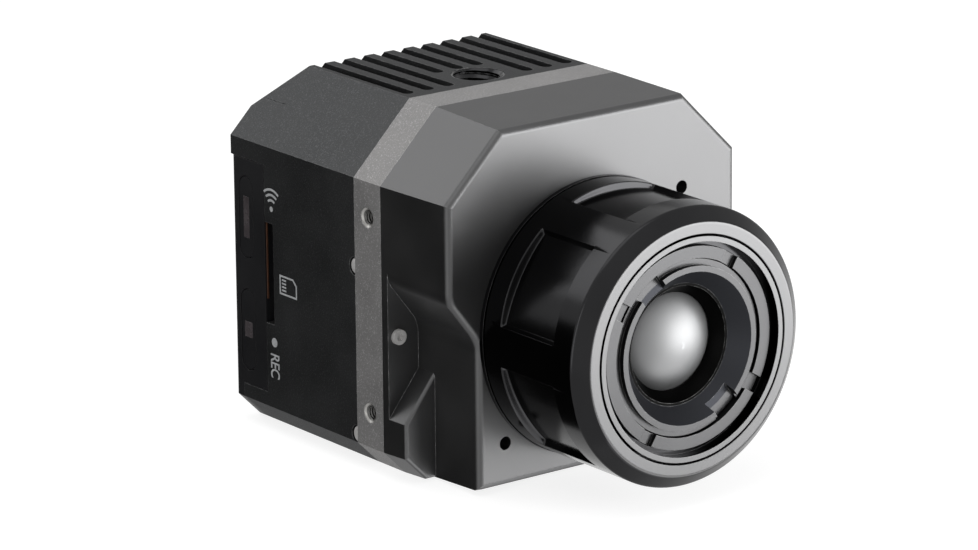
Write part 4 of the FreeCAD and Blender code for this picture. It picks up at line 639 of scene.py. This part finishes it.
def thread_radius(heights, columns, core, depth, pitch):
    """core + depth * t(z / pitch - a / 2 pi), where t is a ramp up and down with flat ends."""
    angle = np.linspace(0, 2 * math.pi, columns, endpoint=False)
    phase = np.mod(np.asarray(heights)[:, None] / pitch - angle / (2 * math.pi), 1.0)
    flat = (FLANK_SLOPE - 1) / 2
    ramp = np.clip(np.abs(2 * phase - 1) * FLANK_SLOPE - flat, 0, 1)
    return core + depth * ramp



def smooth_step(value, low, high):
    """0 below low, 1 above high, and 3 t^2 - 2 t^3 between."""
    t = np.clip((value - low) / (high - low), 0, 1)
    return t * t * (3 - 2 * t)


def body_with(node):
    """The name of the body that a CAD node rides on."""
    return np.ravel(body_of(nodes[node])).tolist()[0]


def dress(piece, body, material):
    """Gives a new piece its finish and the body that it rides."""
    piece.data.set_sharp_from_angle(angle=math.radians(SHARP_ANGLE))
    piece.data.materials.append(material)
    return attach(piece, body)


# %% The tripod insert with its thread
INSERT_LOW, INSERT_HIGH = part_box("tripod_insert")
INSERT_TOP, INSERT_FOOT = INSERT_HIGH[2], INSERT_LOW[2]
FLANGE_RADIUS, SLEEVE_RADIUS, FLANGE_TOP = 4.40 * MM, 3.35 * MM, INSERT_FOOT + 2.6 * MM
BORE_FOOT, CORE_RADIUS = INSERT_FOOT + 0.9 * MM, 2.49 * MM
QUARTER_INCH_PITCH, THREAD_DEPTH, MOUTH_RADIUS = 1.27 * MM, 0.62 * MM, 3.18 * MM
INSERT_COLUMNS, INSERT_ROWS = 120, 90

wall = np.linspace(INSERT_TOP - 0.02 * MM, BORE_FOOT + 0.01 * MM, INSERT_ROWS)
bore = thread_radius(wall, INSERT_COLUMNS, CORE_RADIUS, THREAD_DEPTH, QUARTER_INCH_PITCH)
chamfer = (MOUTH_RADIUS - (INSERT_TOP - wall))[:, None]
bore = np.maximum(bore, chamfer)
outside = [(INSERT_FOOT, 0.5 * FLANGE_RADIUS), (INSERT_FOOT, FLANGE_RADIUS - 0.1 * MM),
           (INSERT_FOOT + 0.1 * MM, FLANGE_RADIUS), (FLANGE_TOP, FLANGE_RADIUS),
           (FLANGE_TOP, SLEEVE_RADIUS), (INSERT_TOP - 0.05 * MM, SLEEVE_RADIUS),
           (INSERT_TOP, SLEEVE_RADIUS - 0.05 * MM), (INSERT_TOP, MOUTH_RADIUS)]
heights = [z for z, r in outside] + wall.tolist() + [BORE_FOOT, BORE_FOOT]
radii = np.vstack([np.repeat([[r] for z, r in outside], INSERT_COLUMNS, axis=1), bore,
                   np.full((2, INSERT_COLUMNS), CORE_RADIUS) * [[1.0], [0.5]]])
tripod = turned_piece("tripod_thread_insert", heights, radii)
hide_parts("tripod_insert")
dress(tripod, body_with("tripod_insert"), finishes["black_anodised"])
print("tripod insert faces:", len(tripod.data.polygons))

# %% The small threads of the band
BAND_LOW, BAND_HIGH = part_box("frame_ring")
HOLE_Y, HOLE_LOW, HOLE_SPACING = -7.1 * MM, 7.5 * MM, 24.7 * MM
RIM_RADIUS, RIM_DEPTH, HOLE_RADIUS, HOLE_DEPTH = 1.29 * MM, 0.34 * MM, 0.797 * MM, 2.35 * MM
M2_PITCH, M2_DEPTH = 0.40 * MM, 0.12 * MM
BAND_COLUMNS, BAND_ROWS = 48, 70


def band_thread(name, place, facing):
    """A countersunk rim and thread turns: a cone down to the hole, then a threaded wall, then back
    up behind both, as one closed loop turned about the hole's axis. The rim is cut bright, and
    the turns below it are the same cut metal painted dark, as painted shade inside the hole."""
    wall = np.linspace(-0.20 * MM, -HOLE_DEPTH, BAND_ROWS)
    flare = 0.20 * MM * smooth_step(wall, -0.46 * MM, -0.20 * MM)[:, None]
    turns = flare + thread_radius(wall, BAND_COLUMNS, HOLE_RADIUS - M2_DEPTH,
                                  M2_DEPTH - 0.004 * MM, M2_PITCH)
    before = [(-0.02 * MM, RIM_RADIUS), (-0.01 * MM, RIM_RADIUS - 0.04 * MM),
              (-0.16 * MM, RIM_RADIUS - 0.26 * MM), (-0.18 * MM, RIM_RADIUS - 0.29 * MM)]
    after = [(-HOLE_DEPTH, HOLE_RADIUS), (-RIM_DEPTH - 0.005 * MM, HOLE_RADIUS),
             (-RIM_DEPTH - 0.005 * MM, RIM_RADIUS)]
    heights = [z for z, r in before] + wall.tolist() + [z for z, r in after]
    radii = np.vstack([np.repeat([[r] for z, r in before], BAND_COLUMNS, axis=1), turns,
                       np.repeat([[r] for z, r in after], BAND_COLUMNS, axis=1)])
    piece = turned_piece(name, heights, radii, loop=True)
    turn = Vector(facing).to_track_quat("Z", "Y").to_matrix().to_4x4()
    piece.data.transform(Matrix.Translation(place) @ turn)
    piece.data.flip_normals()
    piece.data.materials.append(cut_metal)
    # faces below the rim take the second material: cut metal painted dark as painted shade in the
    # hole
    rim_faces = len(before) * BAND_COLUMNS
    below_rim = np.arange(len(piece.data.polygons)) >= rim_faces
    piece.data.polygons.foreach_set("material_index", below_rim.astype(np.int32))
    return dress(piece, body_with("frame_ring"), thread_metal_painted_shade)


for side, label in ((1, "right"), (-1, "left")):
    for level in (0, 1):
        edge = BAND_HIGH[0] if side > 0 else BAND_LOW[0]
        band_thread("%s_thread_%d" % (label, level + 1),
                    (edge, HOLE_Y, HOLE_LOW + level * HOLE_SPACING), (side, 0, 0))
for side, label in ((1, "right"), (-1, "left")):
    band_thread("bottom_thread_%s" % label, (side * HOLE_SPACING / 2, HOLE_Y, BAND_LOW[2]),
                (0, 0, -1))

# %% [markdown]
# ## The focus ring with its finger pockets
#
# The barrel's six pockets are shallow hollows: nearly flat across, with a short steep wall at
# each end and softened rims. The solid keeps them as plain turned cuts, so here the barrel's
# skin is a grid whose radius falls by the pocket's depth.

# %% Focus ring
RING_LOW, RING_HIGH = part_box("focus_ring")
BARREL_RADIUS = RING_HIGH[0]
FRONT_Y, REAR_Y, BEVEL_Y, BEVEL_RADIUS = RING_LOW[1], RING_HIGH[1], -40.45 * MM, 15.55 * MM
MOUTH, BORE, SHOULDER = 14.10 * MM, 14.65 * MM, 16.35 * MM
POCKET_REAR, POCKET_FRONT, POCKETS = -26.75 * MM, -37.0 * MM, 6
POCKET_HALF, POCKET_EDGE = math.radians(21.5), 0.62 * MM
POCKET_FLATNESS, POCKET_WALL = 0.28, 0.26 * MM
SHOULDER_Y, CLIP_REAR_Y, CLIP_FRONT_Y = -25.95 * MM, -28.2 * MM, -30.6 * MM
RELIEF_REAR_Y, RELIEF_FRONT_Y, MOUTH_Y = -36.2 * MM, -37.3 * MM, -38.1 * MM
CLIP_GROOVE, RELIEF_GROOVE = 15.6 * MM, 15.3 * MM
RING_COLUMNS, CORNER = 600, 0.08 * MM


def pocket_depth(y, angle):
    """A wall of POCKET_EDGE all round, plus a share of the depth of a flat chord,
    R - R cos h / cos a, where h is half the pocket's angle and a the angle from its middle."""
    step = 2 * math.pi / POCKETS
    a = np.mod(angle + step / 2, step) - step / 2
    within = np.clip(a, -POCKET_HALF, POCKET_HALF)
    chord = BARREL_RADIUS * (1 - math.cos(POCKET_HALF) / np.cos(within))
    wall_angle = POCKET_WALL / BARREL_RADIUS
    across = smooth_step(POCKET_HALF - np.abs(a), 0, wall_angle)
    along = (smooth_step(y, POCKET_FRONT, POCKET_FRONT + POCKET_WALL)
             * smooth_step(-y, -POCKET_REAR, -POCKET_REAR + POCKET_WALL))
    return across * along * (POCKET_EDGE + POCKET_FLATNESS * chord)


near_front = np.linspace(POCKET_FRONT, POCKET_FRONT + POCKET_WALL, 7)
near_rear = np.linspace(POCKET_REAR - POCKET_WALL, POCKET_REAR, 7)
pocket_floor = np.linspace(-36.2, -27.6, 8) * MM
barrel = np.concatenate([[BEVEL_Y + CORNER, BEVEL_Y + 3 * CORNER], near_front, pocket_floor,
                         near_rear, [REAR_Y - 3 * CORNER, REAR_Y - CORNER]])
angle = np.linspace(0, 2 * math.pi, RING_COLUMNS, endpoint=False)
skin = BARREL_RADIUS - pocket_depth(barrel[:, None], angle)
bevel_run = (BARREL_RADIUS - BEVEL_RADIUS) / (BEVEL_Y - FRONT_Y)
ahead = [(FRONT_Y, BEVEL_RADIUS - 3 * CORNER), (FRONT_Y, BEVEL_RADIUS - CORNER / 2),
         (FRONT_Y + CORNER / 2, BEVEL_RADIUS + CORNER / 2 * bevel_run),
         (FRONT_Y + 3 * CORNER, BEVEL_RADIUS + 3 * CORNER * bevel_run),
         (BEVEL_Y - 3 * CORNER, BARREL_RADIUS - 3 * CORNER * bevel_run),
         (BEVEL_Y - CORNER, BARREL_RADIUS - CORNER * bevel_run)]
behind = [(REAR_Y, BARREL_RADIUS - CORNER), (REAR_Y, SHOULDER), (SHOULDER_Y, SHOULDER),
          (SHOULDER_Y, BORE), (CLIP_REAR_Y, BORE), (CLIP_REAR_Y, CLIP_GROOVE),
          (CLIP_FRONT_Y, CLIP_GROOVE), (CLIP_FRONT_Y, BORE), (RELIEF_REAR_Y, BORE),
          (RELIEF_REAR_Y, RELIEF_GROOVE), (RELIEF_FRONT_Y, RELIEF_GROOVE),
          (RELIEF_FRONT_Y, BORE), (MOUTH_Y, BORE), (MOUTH_Y, MOUTH),
          (FRONT_Y + 3 * CORNER, MOUTH), (FRONT_Y + CORNER, MOUTH), (FRONT_Y, MOUTH + CORNER),
          (FRONT_Y, MOUTH + 3 * CORNER)]
heights = [y for y, r in ahead] + barrel.tolist() + [y for y, r in behind]
radii = np.vstack([np.repeat([[r] for y, r in ahead], RING_COLUMNS, axis=1), skin,
                   np.repeat([[r] for y, r in behind], RING_COLUMNS, axis=1)])
focus = turned_piece("focus_barrel", heights, radii, loop=True)
focus.data.transform(Matrix(((0, 1, 0, 0), (0, 0, 1, 0), (1, 0, 0, LENS_HEIGHT), (0, 0, 0, 1))))
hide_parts("focus_ring")
dress(focus, body_with("focus_ring"), finishes[slot_of["focus_ring"]])
print("focus ring faces:", len(focus.data.polygons))

# %% [markdown]
# ## The board's edge in the card slot, and the band's four tabs
#
# Beside the card slot the amber edge of the socket board shows. Each tab that the band pushes
# into the housing ends in a small bright crown.


# %% Board edge and tab crowns
BAR_COLUMNS = 48


def rounded_bar(name, low, high, softness):
    """A bar along Z between two corners: its section is a superellipse |u|^n + |v|^n = 1 with n set
    by softness, and its ends close over a short taper."""
    turns = np.linspace(0, 2 * math.pi, BAR_COLUMNS, endpoint=False)
    power = 2.0 / softness
    u = np.sign(np.cos(turns)) * np.abs(np.cos(turns)) ** power
    v = np.sign(np.sin(turns)) * np.abs(np.sin(turns)) ** power
    half = (np.asarray(high) - np.asarray(low)) / 2
    middle = (np.asarray(high) + np.asarray(low)) / 2
    soft = min(half[0], half[1]) * 0.4
    rows = np.array([(-half[2], 0.6), (-half[2] + 0.3 * soft, 0.88), (-half[2] + soft, 1.0),
                     (half[2] - soft, 1.0), (half[2] - 0.3 * soft, 0.88), (half[2], 0.6)])
    height, width = rows[:, :1], rows[:, 1:]
    points = np.stack([middle[0] + half[0] * width * u, middle[1] + half[1] * width * v,
                       middle[2] + np.repeat(height, BAR_COLUMNS, axis=1)], axis=-1)
    points = points.reshape(-1, 3)
    faces = grid_faces(len(rows), BAR_COLUMNS, True).tolist()
    top = (len(rows) - 1) * BAR_COLUMNS
    faces += [list(range(BAR_COLUMNS - 1, -1, -1)), [top + c for c in range(BAR_COLUMNS)]]
    return mesh_piece(name, points, faces)


EDGE_LOW = (-22.0 * MM, 14.68 * MM, 17.0 * MM)
EDGE_HIGH = (-21.75 * MM, 14.79 * MM, 26.9 * MM)
dress(rounded_bar("board_edge", EDGE_LOW, EDGE_HIGH, 6), body_with("socket_board"),
      board_rim)
CONTACT_HEIGHTS, CONTACT_HALF = (15.0, 16.1, 25.0, 26.1), 0.2
for row, z in enumerate(CONTACT_HEIGHTS):
    contact = rounded_bar("card_contact_%d" % (row + 1),
                          (-21.7 * MM, 13.25 * MM, (z - CONTACT_HALF) * MM),
                          (-20.6 * MM, 13.7 * MM, (z + CONTACT_HALF) * MM), 5)
    dress(contact, body_with("card_socket"), cut_metal)

TAB_LOW, TAB_HIGH, TAB_RADIUS, SEAM_Y = 4.1 * MM, 25.5 * MM, 1.02 * MM, -4.4 * MM
TAB_FACE, CROWN, CROWN_FULLNESS, CROWN_COLUMNS = 0.32 * MM, 0.31 * MM, 0.35, 40
for side, label in ((1, "right"), (-1, "left")):
    for level, z in enumerate((TAB_LOW, TAB_HIGH)):
        rise = np.linspace(0, math.pi / 2, 9)[:-1]
        heights = np.concatenate([[-0.05 * MM], CROWN * np.sin(rise), [CROWN]])
        dome = TAB_RADIUS * np.cos(rise) ** CROWN_FULLNESS
        radii = np.concatenate([[TAB_RADIUS], dome, [0.05 * MM]])
        crown = turned_piece("%s_tab_crown_%d" % (label, level + 1), heights,
                             np.repeat(radii[:, None], CROWN_COLUMNS, axis=1))
        turn = Vector((side, 0, 0)).to_track_quat("Z", "Y").to_matrix().to_4x4()
        edge = BAND_HIGH[0] if side > 0 else BAND_LOW[0]
        crown.data.transform(Matrix.Translation((edge - side * TAB_FACE, SEAM_Y, z)) @ turn)
        dress(crown, body_with("frame_ring"), tab_metal)
print("board edge, 4 contacts, 4 tab crowns")

# %% [markdown]
# ## Printed marks on the left side
#
# The side carries a dot and the word REC beside the record button, a sign for the wireless
# link and one for the card slot. They are pad prints a hundredth of a millimetre proud. The
# two signs here are plain generic ones: waves from a dot, and a card with its contacts.

# %% Flat prints
SIDE_X = -22.225 * MM
PROUD = 0.012 * MM


def print_shapes(name, outlines):
    """One mesh of flat prisms on the left side. Each outline is a closed loop of (y, z) points,
    ordered so that its area is positive in the (z, y) sense, and is drawn from skin to PROUD."""
    points, faces = [], []
    for loop in outlines:
        count, first = len(loop), len(points)
        points += [(SIDE_X - PROUD, y, z) for y, z in loop]
        points += [(SIDE_X + PROUD, y, z) for y, z in loop]
        faces.append([first + i for i in range(count)])
        faces.append([first + count + i for i in reversed(range(count))])
        for i in range(count):
            n = (i + 1) % count
            faces.append([first + n, first + i, first + count + i, first + count + n])
    return mesh_piece(name, points, faces, smooth=False)


def band_strip(inner, outer):
    """Quads between two rows of (y, z) points, each ordered to face away from the case."""
    strips = []
    for i in range(len(inner) - 1):
        quad = [inner[i], inner[i + 1], outer[i + 1], outer[i]]
        area = sum(a[0] * b[1] - b[0] * a[1] for a, b in zip(quad, quad[1:] + quad[:1]))
        strips.append(quad if area < 0 else quad[::-1])
    return strips


def arc(centre, radius, start, end, count):
    """Points round a centre (y, z), with the angle counted from straight up."""
    a = np.radians(np.linspace(start, end, count))
    return [(centre[0] + radius * math.sin(t), centre[1] + radius * math.cos(t)) for t in a]


def disc(centre, radius, count=40):
    """A round dot as one closed outline."""
    return arc(centre, radius, 0, 360 - 360 / count, count)[::-1]


RECORD_DOT = (13.04 * MM, 11.70 * MM)
marks = {"record_dot": [disc(RECORD_DOT, 0.60 * MM)]}

WAVE_FOOT, WAVE_WIDTH = (13.2 * MM, 28.9 * MM), 0.30 * MM
waves = [disc(WAVE_FOOT, 0.34 * MM)]
for step in (1, 2, 3):
    radius = 0.30 * MM + step * 0.68 * MM
    waves += band_strip(arc(WAVE_FOOT, radius, -38, 38, 16),
                        arc(WAVE_FOOT, radius + WAVE_WIDTH, -38, 38, 16))
marks["wireless_sign"] = waves

CARD_CENTRE, CARD_LONG, CARD_WIDE = (9.85 * MM, 19.6 * MM), 3.7 * MM, 2.5 * MM
CARD_LINE, STRIPE_START, STRIPE_END, STRIPE_HALF = 0.24 * MM, 0.45 * MM, 1.35 * MM, 0.11 * MM


def card_outline(inset):
    """The card's outline with one clipped corner, moved inward by inset, closed on itself."""
    u, v, clip = CARD_LONG / 2 - inset, CARD_WIDE / 2 - inset, 0.75 * MM - 0.4 * inset
    corners = [(u, -v), (u, v), (-u + clip, v), (-u, v - clip), (-u, -v), (u, -v)]
    return [(CARD_CENTRE[0] + a, CARD_CENTRE[1] + b) for a, b in corners]


card = band_strip(card_outline(CARD_LINE), card_outline(0))
for row in range(4):
    z = CARD_CENTRE[1] - 0.66 * MM + row * 0.44 * MM
    inner = [(CARD_CENTRE[0] + STRIPE_START, z - STRIPE_HALF),
             (CARD_CENTRE[0] + STRIPE_END, z - STRIPE_HALF)]
    outer = [(y, z + STRIPE_HALF) for y, _ in inner]
    card += band_strip(inner, outer)
marks["card_sign"] = card

for label, outlines in marks.items():
    dress(print_shapes(label, outlines), body_with("rear_housing"), print_ink)
print("marks:", list(marks))

# %% The word beside the record button
TEXT_HEIGHT, TEXT_START, TEXT_FOOT = 1.84 * MM, 10.29 * MM, 13.89 * MM
TEXT_LENGTH, CAPITAL_SHARE, STROKE_SWELL = 3.27 * MM, 0.70, 0.03 * MM
curve = bpy.data.curves.new("record_word", "FONT")
curve.body, curve.size, curve.offset = "REC", TEXT_HEIGHT / CAPITAL_SHARE, STROKE_SWELL
curve.extrude, curve.space_character = PROUD, 0.92
holder = bpy.data.objects.new("record_word_curve", curve)
scene.collection.objects.link(holder)
bpy.context.view_layer.update()
word_mesh = bpy.data.meshes.new_from_object(holder.evaluated_get(
    bpy.context.evaluated_depsgraph_get()))
bpy.data.objects.remove(holder)
word_length = max(v.co.x for v in word_mesh.vertices)
squeeze = TEXT_LENGTH / word_length
to_side = Matrix(((0, 0, -1, SIDE_X), (0, -1, 0, TEXT_FOOT), (-squeeze, 0, 0, TEXT_START),
                  (0, 0, 0, 1)))
word_mesh.transform(to_side)
word = bpy.data.objects.new("record_word", word_mesh)
scene.collection.objects.link(word)
dress(word, body_with("rear_housing"), print_ink)
print("word faces:", len(word_mesh.polygons))
